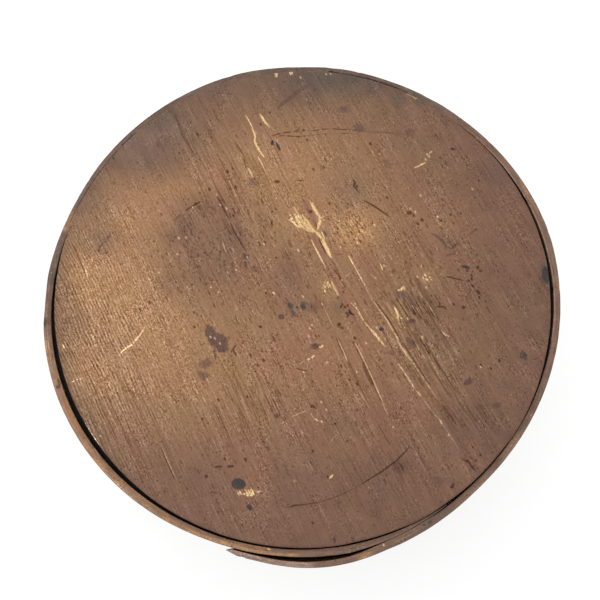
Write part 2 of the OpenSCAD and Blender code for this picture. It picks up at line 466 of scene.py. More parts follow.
def wood(name, base, other, streaks, fibres, specks, pores, hatches):
    """Old softwood: two base colours under grain, patina, grime, stains and raw wounds, and painted shade in
    slits.
    """
    g = Graph(name)
    grain = g.grain()
    noise = {kind: g.noise(grain, *cells) for kind, cells in WOOD_NOISE.items()}
    fibre = noise["fibre"]
    speck = noise["speck"]
    cloud = noise["cloud"]

    def ramp(kind, value, to_low=0.0, to_high=1.0):
        return g.ramp(value, *WOOD_RAMPS[kind], to_low, to_high)

    def times(a, b):
        return g.math("MULTIPLY", a, b)

    def plus(a, b):
        return g.math("ADD", a, b)

    def minus(a, b):
        return g.math("SUBTRACT", a, b)

    ragged = plus(g.centred(fibre, RAGGED), g.centred(speck, RAGGED))
    slight = times(ragged, SLIGHT)

    relief = plus(g.centred(fibre, fibres), g.centred(speck, specks))
    relief = minus(relief, ramp("pore", noise["pore"], 0.0, PORE_SHADE * pores))
    relief = plus(relief, ramp("glint", noise["glint"], 0.0, GLINT_LIGHT * pores))
    relief = times(relief, ramp("patch", noise["patch"], *PATCH_SHARES))
    relief = times(relief, ramp("cluster", noise["cluster"], *CLUSTER_SHARES))
    pit = plus(noise["pit"], times(g.layer("pits"), MORE_PITS))
    relief = minus(relief, ramp("pit", pit, 0.0, PIT_SHADE))
    relief = plus(relief, times(g.centred(noise["comb"], COMB_SHADE), g.layer("comb")))

    across = g.node("ShaderNodeSeparateXYZ", {0: grain}).outputs[1]
    drift = g.centred(noise["drift"], HATCH_DRIFT)
    lines = g.math("SINE", plus(times(across, HATCH_TURNS), drift), 0.0)
    weave = times(lines, ramp("dash", noise["dash"], HATCH_FAINT * hatches, HATCH_FULL * hatches))
    rows = g.centred(noise["rows"], HATCH_ROWS * hatches)
    weave = plus(weave, plus(rows, g.centred(speck, HATCH_SPECKS * hatches)))
    relief = plus(relief, times(weave, g.layer("hatch")))

    relief = minus(relief, times(ramp("groove", plus(g.layer("groove"), ragged)), GROOVE_SHADE))
    relief = plus(relief, times(ramp("ridge", plus(g.layer("ridge"), ragged)), RIDGE_LIGHT))
    scratch = ramp("scratch", plus(g.layer("scratch"), slight))
    # Dents, and on the rim painted shade where it meets the lid board, darken the tone
    dent = ramp("dent", plus(g.layer("dent"), slight))
    dent = times(dent, minus(1.0, scratch))
    tone = plus(relief, g.centred(noise["streak"], streaks))
    tone = plus(tone, times(scratch, SCRATCH_LIGHT))
    tone = minus(tone, times(dent, DENT_SHADE))

    uneven = plus(plus(g.centred(cloud, UNEVEN_CLOUDS), g.centred(speck, UNEVEN_SPECKS)), 1.0)
    colour = g.blend(ramp("tint", noise["tint"]), base, other)
    colour = g.blend(g.layer("fresh"), colour, FRESH)
    for layer, tint in (("gold", GOLD), ("plum", PLUM), ("grime", GRIME), ("red", RED), ("rose", ROSE)):
        colour = g.blend(g.math("MULTIPLY", g.layer(layer), uneven, True), colour, tint)
    stain = plus(plus(g.layer("stain"), slight), g.centred(cloud, STAIN_CLOUDS))
    colour = g.blend(ramp("stain", stain), colour, STAIN)
    colour = g.blend(ramp("ink", plus(g.layer("ink"), ragged)), colour, INK)
    raw = ramp("raw", plus(g.layer("raw"), ragged))
    colour = g.blend(g.math("MAXIMUM", raw, times(scratch, SCRATCH_BARE)), colour, RAW)
    colour = g.lighten(colour, tone)
    # Painted shade in the slit between the lid board and its band, laid over everything else
    colour = g.blend(g.layer("slit_shade"), colour, SLIT_SHADE)
    return g.finish({
        "Base Color": colour,
        "Roughness": plus(ramp("dull", cloud, *WOOD_DULL), times(raw, RAW_DULL)),
        "Specular IOR Level": WOOD_SHINE,
        "Normal": g.node("ShaderNodeBump", {**BUMP, "Height": relief}).outputs[0],
    })


# Iron: noise as for the wood, values from which rust and pits come in, and colours
IRON_PATCH = (0.8, 0.8, 4.0, 0.65)
IRON_PIT = (4.0, 4.0, 2.0)
RUST_RAMP = (0.42, 0.62)
IRON_RAMP = (0.3, 0.7)
IRON_DULL = (0.45, 0.8)
IRON_METAL = 0.7
IRON_DARK = linear(52, 47, 44)
IRON_PALE = linear(84, 77, 71)
RUST_DARK = linear(66, 42, 30)
RUST_PALE = linear(108, 66, 42)


def iron():
    """Old wrought iron, dark with brown rust."""
    g = Graph("old_iron")
    grain = g.grain()
    patch = g.noise(grain, *IRON_PATCH)
    pit = g.noise(grain, *IRON_PIT)
    rust = g.ramp(patch, *RUST_RAMP)
    pitted = g.ramp(pit, *IRON_RAMP)
    bare = g.blend(pitted, IRON_DARK, IRON_PALE)
    brown = g.blend(pitted, RUST_DARK, RUST_PALE)
    return g.finish({
        "Base Color": g.blend(rust, bare, brown),
        "Metallic": g.ramp(rust, 0.0, 1.0, IRON_METAL, 0.0),
        "Roughness": g.ramp(patch, *IRON_RAMP, *IRON_DULL),
        "Normal": g.node("ShaderNodeBump", {**BUMP, "Height": pit}).outputs[0],
    })


LID_WOOD = wood(
    "lid_pine", linear(145, 108, 72), linear(148, 104, 75),
    streaks=0.25, fibres=1.1, specks=1.15, pores=0.28, hatches=1.15,
)
BAND_WOOD = wood(
    "band_wood", linear(131, 102, 86), linear(126, 96, 78),
    streaks=0.5, fibres=1.3, specks=1.1, pores=0.16, hatches=0.0,
)
BOTTOM_WOOD = wood(
    "bottom_pine", linear(160, 122, 88), linear(150, 112, 82),
    streaks=0.8, fibres=0.9, specks=1.2, pores=0.2, hatches=0.0,
)
IRON = iron()

# Building of pieces


def add_piece(name, points, faces, material, body, node, grain, layers):
    """A smooth closed mesh in the place of a solid, with its grain and its layers of marks."""
    mesh = bpy.data.meshes.new(name)
    mesh.from_pydata((points * MM).tolist(), [], faces)
    work = bmesh.new()
    work.from_mesh(mesh)
    bmesh.ops.recalc_face_normals(work, faces=work.faces)
    work.to_mesh(mesh)
    work.free()
    mesh.polygons.foreach_set("use_smooth", np.ones(len(mesh.polygons), dtype=bool))
    held = mesh.attributes.new("grain", "FLOAT_VECTOR", "POINT")
    held.data.foreach_set("vector", np.ascontiguousarray(grain, dtype=np.float32).ravel())
    for layer, values in layers.items():
        held = mesh.attributes.new(layer, "FLOAT", "POINT")
        held.data.foreach_set("value", np.ascontiguousarray(values, dtype=np.float32))
    mesh.materials.append(material)
    piece = bpy.data.objects.new(name, mesh)
    bpy.context.scene.collection.objects.link(piece)
    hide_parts(node)
    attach(piece, body)


def ring_quads(first, second):
    """Faces between two closed rings of corners."""
    after_first = np.roll(first, -1)
    after_second = np.roll(second, -1)
    return np.stack((first, after_first, after_second, second), axis=1).tolist()


def ring_fans(fine, coarse):
    """Faces between a closed ring and one with a quarter of its corners."""
    faces = []
    count = len(coarse)
    for i in range(count):
        a = coarse[i]
        b = coarse[(i + 1) % count]
        f = [fine[(COARSER * i + k) % len(fine)] for k in range(COARSER + 1)]
        faces += [(f[0], f[1], a), (f[1], f[2], a), (a, f[2], b), (f[2], f[3], b), (f[3], f[4], b)]
    return faces


def disc_grid(cells):
    """A square grid bent to a unit disc: its radii, its angles, its faces and its border."""
    line = np.linspace(-1.0, 1.0, cells + 1)
    u, v = np.meshgrid(line, line)
    wide = np.abs(u) > np.abs(v)
    long_side = np.where(wide, u, v)
    short_side = np.where(wide, v, u)
    share = short_side / np.where(long_side == 0, 1.0, long_side)
    angle = np.where(wide, share * math.pi / 4, math.pi / 2 - share * math.pi / 4)
    angle = np.where(long_side < 0, angle + math.pi, angle)
    index = np.arange((cells + 1) ** 2).reshape(cells + 1, cells + 1)
    quads = np.stack((index[:-1, :-1], index[:-1, 1:], index[1:, 1:], index[1:, :-1]), axis=-1)
    border = np.concatenate((index[0, :-1], index[:-1, -1], index[-1, :0:-1], index[:0:-1, 0]))
    return np.abs(long_side).ravel(), angle.ravel(), quads.reshape(-1, 4), border


def grain_of(points):
    """Places along the grain, across it and into the depth of a board."""
    angle = rad(GRAIN_DIR)
    along = points[:, 0] * math.cos(angle) + points[:, 1] * math.sin(angle)
    across = -points[:, 0] * math.sin(angle) + points[:, 1] * math.cos(angle)
    return np.stack((along, across, points[:, 2]), axis=1)


# Steps round a board's upper edge, the rounding of its lower edge, and how much coarser its underside is
EDGE_STEPS = 5
UNDER_EASE = 0.6
COARSER = 4


def board(radius, thick, z, cells, worn, ease_at, carve, levels, foot):
    """A round board with a fine top, worn edges and a plain underside.

    Each level of its edge has a height and a share of the way out to the foot, the radius at its underside.
    Gives its points, its faces and the share of each point that belongs to the top.
    """
    unit, angle, top_faces, border = disc_grid(cells)
    points = []
    faces = top_faces.tolist()
    eased = ease_at(angle)
    flat = radius - worn(angle) - eased
    x = unit * flat * np.cos(angle)
    y = unit * flat * np.sin(angle)
    points.append(np.stack((x, y, z + thick - carve(x, y)), axis=1))
    top_share = [np.ones(len(x))]
    count = len(x)

    rim_angle = angle[border]
    rim_eased = eased[border]
    rim_r = radius - worn(rim_angle)
    previous = border
    for step in range(1, EDGE_STEPS + 1):
        turn = step / EDGE_STEPS * math.pi / 2
        r = rim_r - rim_eased * (1 - math.sin(turn))
        drop = rim_eased * (1 - math.cos(turn))
        x = r * np.cos(rim_angle)
        y = r * np.sin(rim_angle)
        depth = drop + carve(x, y) * (1 - step / EDGE_STEPS)
        points.append(np.stack((x, y, z + thick - depth), axis=1))
        top_share.append(np.full(len(x), 1 - step / EDGE_STEPS))
        current = count + np.arange(len(x))
        faces += ring_quads(previous, current)
        previous = current
        count += len(x)

    low_angle = rim_angle[::COARSER]
    low_r = rim_r[::COARSER]
    for level, out in levels:
        r = mix(low_r, foot(low_angle), out)
        x = r * np.cos(low_angle)
        y = r * np.sin(low_angle)
        points.append(np.stack((x, y, np.full(len(x), z + level)), axis=1))
        top_share.append(np.zeros(len(x)))
        current = count + np.arange(len(x))
        joined = ring_fans if len(previous) > len(current) else ring_quads
        faces += joined(previous, current)
        previous = current
        count += len(x)

    unit, angle, under_faces, border = disc_grid(cells // COARSER)
    flat = foot(angle) - UNDER_EASE
    x = unit * flat * np.cos(angle)
    y = unit * flat * np.sin(angle)
    points.append(np.stack((x, y, np.full(len(x), z)), axis=1))
    top_share.append(np.zeros(len(x)))
    faces += (under_faces + count).tolist()
    faces += ring_quads(previous, border + count)
    return np.concatenate(points), faces, np.concatenate(top_share)


# Marks on the lid, by their places in the photograph


def way(slope):
    """Step of one pixel in a direction of the photograph."""
    return np.array((math.cos(rad(slope)), math.sin(rad(slope))))


def photo_place(points):
    """Pixel of the photograph in which each point lies."""
    dip = rad(CAMERA_DIP)
    offset = points - CAMERA_AT
    forward = offset[:, 1] * math.cos(dip) - offset[:, 2] * math.sin(dip)
    up = offset[:, 1] * math.sin(dip) + offset[:, 2] * math.cos(dip)
    px = PHOTO_SIDE / 2 + FOCAL * offset[:, 0] / forward
    py = PHOTO_SIDE / 2 - FOCAL * up / forward
    return px, py


class Marks:
    """Layers of marks over points that are given by their pixels."""

    # Spots: how far a spot can reach, the room around it and cells of its ragged border to a pixel
    BLOT_REACH = 2.5
    BLOT_ROOM = 4
    BLOT_CELLS = 0.45
    # Strokes: the room around one, its thinnest share, its full core, its soft border in pixels and its ends
    STROKE_ROOM = 3
    THINNEST = 0.02
    CORE = 0.3
    BORDER = 0.7
    END_SHARE = 0.4
    CUT_EDGE = 0.4
    # Gaps in a stroke: cells to a pixel, and noise from a gap to none
    GAP_CELLS = 0.45
    GAP_FULL = 0.35
    GAP_NONE = 0.6
    # Sheaves and rows: how much their lines differ, and their depth
    SHEAF_REACH = (0.2, 0.6)
    SHEAF_BEND = 1.2
    SHEAF_WIDTH = (0.6, 1.2)
    STRENGTHS = (0.5, 1)
    ROW_SHIFT = 2.0
    SHIFT_TURN = 5
    ROW_SHORTER = 0.25
    SHORTER_TURN = 3
    ROW_GAPS = 0.3
    GRAIN_DEPTH = 0.08
    # Dots and flecks: half a dot's run, how much flecks differ, and their depths
    DOT_RUN = (0.3, 0.5)
    DOT_DEPTH = 0.12
    FLECK_REACH = (0.5, 1.5)
    FLECK_WIDTH = (0.8, 1.6)
    FLECK_DEPTH = 0.1

    def __init__(self, px, py):
        self.px = px
        self.py = py
        self.layers = {name: np.zeros(len(px)) for name in LAYERS}
        self.carve = np.zeros(len(px))
        self.edge = Noise(seed=3)
        self.broken = Noise(seed=4)

    def near(self, points, margin):
        xs = [p[0] for p in points]
        ys = [p[1] for p in points]
        across = (self.px > min(xs) - margin) & (self.px < max(xs) + margin)
        down = (self.py > min(ys) - margin) & (self.py < max(ys) + margin)
        return np.nonzero(across & down)[0]

    def lay(self, layer, where, share):
        held = self.layers[layer]
        if layer in SOFT_LAYERS:
            held[where] = 1 - (1 - held[where]) * (1 - share)
        else:
            held[where] = np.maximum(held[where], share)

    def cut(self, where, depth):
        self.carve[where] = np.maximum(self.carve[where], depth)

    def zone(self, layer, x, y, wide, high, strength):
        """A broad soft area."""
        far = ((self.px - x) / wide) ** 2 + ((self.py - y) / high) ** 2
        self.lay(layer, slice(None), strength * np.exp(-0.5 * far))

    def blot(self, layer, x, y, wide, high, tilt, strength, ragged=0.6, soft=0.3):
        """A spot with a ragged border."""
        where = self.near(((x, y),), self.BLOT_REACH * max(wide, high) + self.BLOT_ROOM)
        dx = self.px[where] - x
        dy = self.py[where] - y
        angle = rad(tilt)
        u = (dx * math.cos(angle) + dy * math.sin(angle)) / wide
        v = (-dx * math.sin(angle) + dy * math.cos(angle)) / high
        noise = self.edge.rough(self.px[where] * self.BLOT_CELLS + x, self.py[where] * self.BLOT_CELLS + y)
        far = np.hypot(u, v) + ragged * 2 * (noise - 0.5)
        self.lay(layer, where, strength * fade(far, 1 - soft, 1 + soft))

    def stroke(self, layer, width, strength, points, taper=0.6, gaps=0.0, depth=0.0):
        """A line that thins out at its ends; gaps break it up."""
        where = self.near(points, width + self.STROKE_ROOM)
        x = self.px[where]
        y = self.py[where]
        lengths = [math.dist(a, b) for a, b in zip(points, points[1:])]
        total = sum(lengths)
        best = np.full(len(where), np.inf)
        along = np.zeros(len(where))
        done = 0.0
        for a, b, length in zip(points, points[1:], lengths):
            share = ((x - a[0]) * (b[0] - a[0]) + (y - a[1]) * (b[1] - a[1])) / length**2
            share = np.clip(share, 0, 1)
            far = np.hypot(x - mix(a[0], b[0], share), y - mix(a[1], b[1], share))
            closer = far < best
            best = np.where(closer, far, best)
            along = np.where(closer, (done + share * length) / total, along)
            done += length
        thin = np.maximum(4 * along * (1 - along), self.THINNEST) ** taper
        half = 0.5 * width * thin
        border = (1 - self.CORE) * half + self.BORDER
        share = np.clip(1 - (best - self.CORE * half) / border, 0, 1) * np.minimum(1, self.END_SHARE + thin)
        if gaps > 0:
            breaks = self.broken.at(along * total * self.GAP_CELLS + points[0][0], points[0][1] + 0 * along)
            share = share * (1 - gaps * fade(breaks, self.GAP_FULL, self.GAP_NONE))
        self.lay(layer, where, strength * share)
        self.cut(where, depth * ease(share * (1 + self.CUT_EDGE) - self.CUT_EDGE))

    def sheaf(self, layer, x, y, spread, length, slope, count, width, strength, seed):
        """Lines along the grain around a place."""
        rng = np.random.default_rng(seed)
        direction = way(slope)
        normal = np.array((-direction[1], direction[0]))
        for _ in range(count):
            aside = normal * spread * rng.uniform(-1, 1)
            onward = direction * length * rng.uniform(-0.5, 0.5)
            middle = np.array((x, y)) + aside + onward
            reach = direction * length * rng.uniform(*self.SHEAF_REACH)
            bend = normal * rng.uniform(-self.SHEAF_BEND, self.SHEAF_BEND)
            points = (tuple(middle - reach), tuple(middle + bend), tuple(middle + reach))
            wide = width * rng.uniform(*self.SHEAF_WIDTH)
            self.stroke(layer, wide, strength * rng.uniform(*self.STRENGTHS), points, depth=self.GRAIN_DEPTH)

    def row(self, layer, x, y, step, count, length, slope, width, strength):
        """Even lines side by side, of unlike lengths."""
        reach = 0.5 * length * way(slope)
        for number in range(count):
            middle = np.array((x + step * number, y + self.ROW_SHIFT * math.sin(self.SHIFT_TURN * number)))
            shorter = self.ROW_SHORTER * math.cos(self.SHORTER_TURN * number)
            ends = reach * (1 - self.ROW_SHORTER + shorter)
            points = (tuple(middle - ends), tuple(middle + ends))
            self.stroke(layer, width, strength, points, gaps=self.ROW_GAPS, depth=self.GRAIN_DEPTH)

    def dots(self, layer, size, strength, places):
        """Small round spots."""
        run_x, run_y = self.DOT_RUN
        for x, y in places:
            points = ((x - run_x, y - run_y), (x + run_x, y + run_y))
            self.stroke(layer, size, strength, points, taper=0.0, depth=self.DOT_DEPTH)

    def flecks(self, layer, x, y, wide, high, count, size, slope, strength, seed):
        """Short strokes of one slope strewn round a place."""
        rng = np.random.default_rng(seed)
        for _ in range(count):
            at = np.array((x + wide * rng.normal(), y + high * rng.normal()))
            reach = size * rng.uniform(*self.FLECK_REACH) * way(slope)
            points = (tuple(at - reach), tuple(at + reach))
            width = rng.uniform(*self.FLECK_WIDTH)
            self.stroke(layer, width, strength * rng.uniform(*self.STRENGTHS), points, depth=self.FLECK_DEPTH)


# Broad areas by layer: x, y, half width, half height, strength
LID_ZONES = {
    "gold": (
        (118, 300, 50, 70, 0.55), (290, 170, 80, 50, 0.4), (150, 340, 70, 55, 0.3), (178, 188, 20, 8, 0.4),
        (148, 212, 24, 16, 0.25), (88, 277, 10, 12, 0.4), (92, 375, 15, 10, 0.4), (425, 275, 12, 10, 0.15),
        (398, 320, 10, 12, 0.2), (330, 285, 10, 10, 0.25), (355, 105, 20, 10, 0.2), (355, 229, 15, 14, 0.8),
        (445, 225, 20, 16, 0.2),
    ),
    "fresh": (
        (357, 229, 10, 10, 0.4), (308, 222, 14, 8, 0.4), (452, 230, 20, 18, 0.1), (215, 400, 45, 22, 0.12),
        (335, 358, 24, 22, 0.12),
    ),
    "plum": (
        (545, 290, 75, 170, 0.74), (430, 520, 150, 75, 0.62), (500, 450, 40, 40, 0.25),
        (482, 428, 20, 17, 0.35), (210, 535, 130, 55, 0.45), (100, 445, 50, 40, 0.3),
        (470, 130, 70, 70, 0.42), (385, 122, 36, 18, 0.25), (130, 140, 60, 26, 0.6),
        (185, 122, 26, 14, 0.25), (250, 85, 120, 26, 0.55), (207, 248, 36, 38, 0.55),
        (186, 226, 9, 11, 0.55), (172, 238, 6, 7, 0.4), (214, 205, 16, 8, 0.25), (234, 234, 9, 15, 0.5),
        (224, 272, 7, 8, 0.3), (176, 281, 8, 10, 0.3), (164, 284, 6, 7, 0.3), (197, 283, 7, 16, 0.2),
        (286, 276, 11, 14, 0.4), (300, 305, 24, 8, 0.25), (338, 307, 5, 6, 0.4), (420, 316, 12, 17, 0.35),
        (405, 297, 9, 7, 0.3), (440, 343, 9, 8, 0.3), (448, 244, 12, 9, 0.2), (298, 485, 14, 26, 0.25),
        (336, 424, 9, 6, 0.2), (160, 470, 14, 18, 0.2), (46, 290, 18, 90, 0.35), (380, 478, 16, 22, 0.25),
        (500, 225, 24, 50, 0.34), (470, 420, 28, 22, 0.36), (140, 148, 36, 15, 0.48),
        (170, 112, 22, 14, 0.3), (330, 490, 90, 40, 0.24), (208, 472, 24, 22, 0.34),
        (222, 500, 28, 22, 0.2), (297, 275, 20, 18, 0.18), (490, 192, 18, 24, 0.16),
        (465, 335, 30, 42, 0.14), (500, 182, 20, 30, 0.2), (290, 90, 22, 14, 0.25),
        (440, 150, 34, 32, 0.16), (360, 500, 110, 45, 0.2), (260, 112, 130, 26, 0.16),
    ),
    "rose": (
        (140, 142, 34, 14, 0.14),
    ),
    "grime": (
        (332, 80, 32, 9, 0.34), (376, 92, 14, 5, 0.36), (92, 202, 15, 26, 0.35), (103, 241, 11, 9, 0.4),
        (138, 158, 22, 13, 0.3), (76, 322, 10, 13, 0.3), (112, 345, 20, 24, 0.15), (345, 178, 18, 18, 0.2),
        (356, 194, 10, 10, 0.25), (318, 84, 26, 11, 0.35), (350, 74, 60, 16, 0.75), (166, 120, 14, 12, 0.5),
        (217, 87, 14, 8, 0.35), (499, 174, 9, 11, 0.45),
    ),
    "red": (
        (280, 500, 90, 45, 0.12), (455, 475, 24, 22, 0.2), (218, 438, 26, 22, 0.2),
        (252, 480, 15, 24, 0.45), (350, 448, 30, 9, 0.25), (370, 345, 9, 34, 0.25),
        (500, 225, 26, 38, 0.25), (320, 345, 40, 24, 0.2), (425, 395, 20, 20, 0.2),
    ),
    "comb": (
        (405, 305, 24, 34, 0.5), (445, 385, 26, 46, 0.22), (225, 225, 24, 40, 0.35),
        (235, 150, 40, 34, 0.22), (240, 400, 46, 40, 0.3), (105, 430, 40, 40, 0.35),
        (370, 400, 40, 50, 0.2), (215, 250, 44, 44, 0.3),
    ),
    "pits": (
        (430, 230, 60, 50, 0.8), (340, 330, 60, 55, 0.8), (230, 330, 60, 60, 0.6), (250, 470, 80, 40, 0.5),
        (460, 450, 50, 45, 0.7), (470, 300, 45, 40, 0.7), (330, 170, 80, 50, 0.5), (200, 190, 60, 40, 0.5),
        (215, 252, 46, 44, 0.7),
    ),
    "hatch": (
        (88, 345, 52, 82, 1), (86, 264, 20, 26, 0.6),
    ),
}

# Spots by layer: x, y, half length, half width, tilt, strength, and for some how ragged and how soft
LID_BLOTS = {
    "stain": (
        (211.5, 335.5, 11.5, 5.4, 70, 0.72, 0.35), (220.5, 343, 11.5, 7, 65, 0.72, 0.35),
        (206, 363.5, 8.5, 5, -15, 0.52, 0.5, 0.5), (203, 375.8, 6.5, 5.5, 0, 0.52, 0.5, 0.5),
        (468.3, 382, 4.4, 2.8, -35, 0.95, 0.4), (281.3, 316.8, 3.2, 3.2, 0, 0.8, 0.3),
        (245, 256.2, 4.2, 3, 10, 0.8), (245.3, 264.9, 1.8, 2.4, 0, 0.75), (411.4, 321, 3.8, 2.4, -10, 0.7),
        (315, 346, 4.6, 3.2, -20, 0.75), (412, 343, 7.5, 3.8, 40, 0.58), (343.6, 109.6, 6, 3.6, 5, 0.55),
        (359, 128.3, 6.5, 4, 10, 0.55), (410.5, 133, 5.5, 4.5, 20, 0.5), (387.5, 164, 6, 4, 50, 0.42),
        (276.5, 416, 2.8, 2.6, 0, 0.75), (440, 480.4, 6, 5, 20, 0.42), (397, 468, 10, 6, 30, 0.4),
        (497, 405.5, 6.5, 3.4, -25, 0.62), (160, 183, 8, 8, 0, 0.27),
    ),
    "ink": (
        (238.5, 483.8, 7.4, 5.5, 8, 0.92, 0.1), (249.4, 507.2, 3.6, 2.6, 50, 0.8, 0.4),
        (546, 275, 9, 4.6, 86, 0.62, 0.25), (523, 355.2, 4.8, 4.2, 20, 0.52),
        (290, 305.5, 3.2, 1.9, 70, 0.5), (303.5, 306.8, 3.2, 2, 80, 0.5),
        (293.6, 313.2, 2.8, 1.6, 70, 0.48), (350, 313, 2.4, 1.9, 35, 1), (381.2, 328.8, 2.8, 2.2, 60, 0.68),
        (466, 267.2, 4.8, 1.6, 15, 0.85, 0.3), (260.4, 326.7, 1.5, 1.2, 20, 1),
        (272.2, 142.7, 2.4, 1.7, 100, 0.95), (277.9, 145.8, 4.2, 1.5, 62, 0.9),
        (334.2, 540, 2.2, 4, 0, 0.5), (353, 538.7, 2.2, 3.2, 0, 0.52),
    ),
    "grime": (
        (545.5, 274.8, 10.5, 5.4, 86, 0.95, 0.25, 0.45), (290.3, 305.9, 4.2, 2.7, 70, 1, 0.3),
        (293.4, 313, 4, 2.3, 70, 1, 0.3), (303.4, 306.1, 4.4, 3, 80, 1, 0.3), (325, 234, 4, 3.4, 60, 0.5),
        (400, 100.5, 8, 6, 10, 0.42, 0.6, 0.6), (419.5, 104, 5.5, 4, 10, 0.6, 0.6, 0.6),
    ),
    "plum": (
        (312.8, 307.6, 6.5, 5, -5, 0.6), (440, 482, 9, 7, 20, 0.5), (254.8, 269, 3.6, 3, 40, 0.6),
        (244, 297.9, 2.6, 2.4, 40, 0.8), (252.5, 182.3, 4.5, 3, 20, 0.55),
        (401.4, 295.1, 5.5, 3.4, 35, 0.9), (411, 300, 7, 4, 45, 0.5), (425.8, 322.4, 3.4, 2.2, 10, 0.6),
        (307, 350.5, 4, 2.2, -20, 0.45), (391.8, 352.6, 5.5, 2.4, 0, 0.6), (401, 354.5, 2.2, 1.8, 0, 0.6),
        (231.9, 244.3, 6, 5, 50, 0.4), (402, 466, 7, 6, 30, 0.55),
    ),
    "dent": (
        (346.6, 313.2, 1.5, 1.2, 10, 1), (349.6, 310.6, 1.7, 1.2, 90, 1), (352.3, 313.9, 1.7, 1.2, 20, 1),
        (348.4, 315.2, 1.6, 1.2, -20, 1), (340.8, 306.8, 1.3, 1.1, 90, 0.95),
        (344.9, 307, 1.5, 1.2, 30, 0.95), (338.9, 324.8, 2, 1.6, -40, 1), (341.9, 327.9, 1.6, 1.3, 40, 1),
        (354.9, 338.4, 1.9, 1.6, 0, 1), (271.8, 224.2, 3.6, 1.5, 80, 1), (277.3, 181.5, 2.1, 1.6, 10, 1),
        (312.3, 406.5, 2.2, 1.8, 30, 1), (478.3, 291.9, 2.2, 1.2, 50, 0.85), (463.7, 307.5, 2, 1.7, 20, 1),
        (452.4, 149.2, 1.5, 1.4, 0, 1), (409.6, 212.7, 2.4, 2, 0, 0.75),
    ),
    "raw": (
        (276, 74, 3.2, 1.8, 80, 0.58), (290.7, 72.8, 2.8, 1.8, 80, 0.58),
        (249.8, 493.4, 4.8, 3.6, -10, 0.6), (302.5, 222.6, 12.5, 5.2, 40, 0.6, 0.35),
        (356, 229, 17, 14, 20, 0.3, 0.5, 0.5),
    ),
}

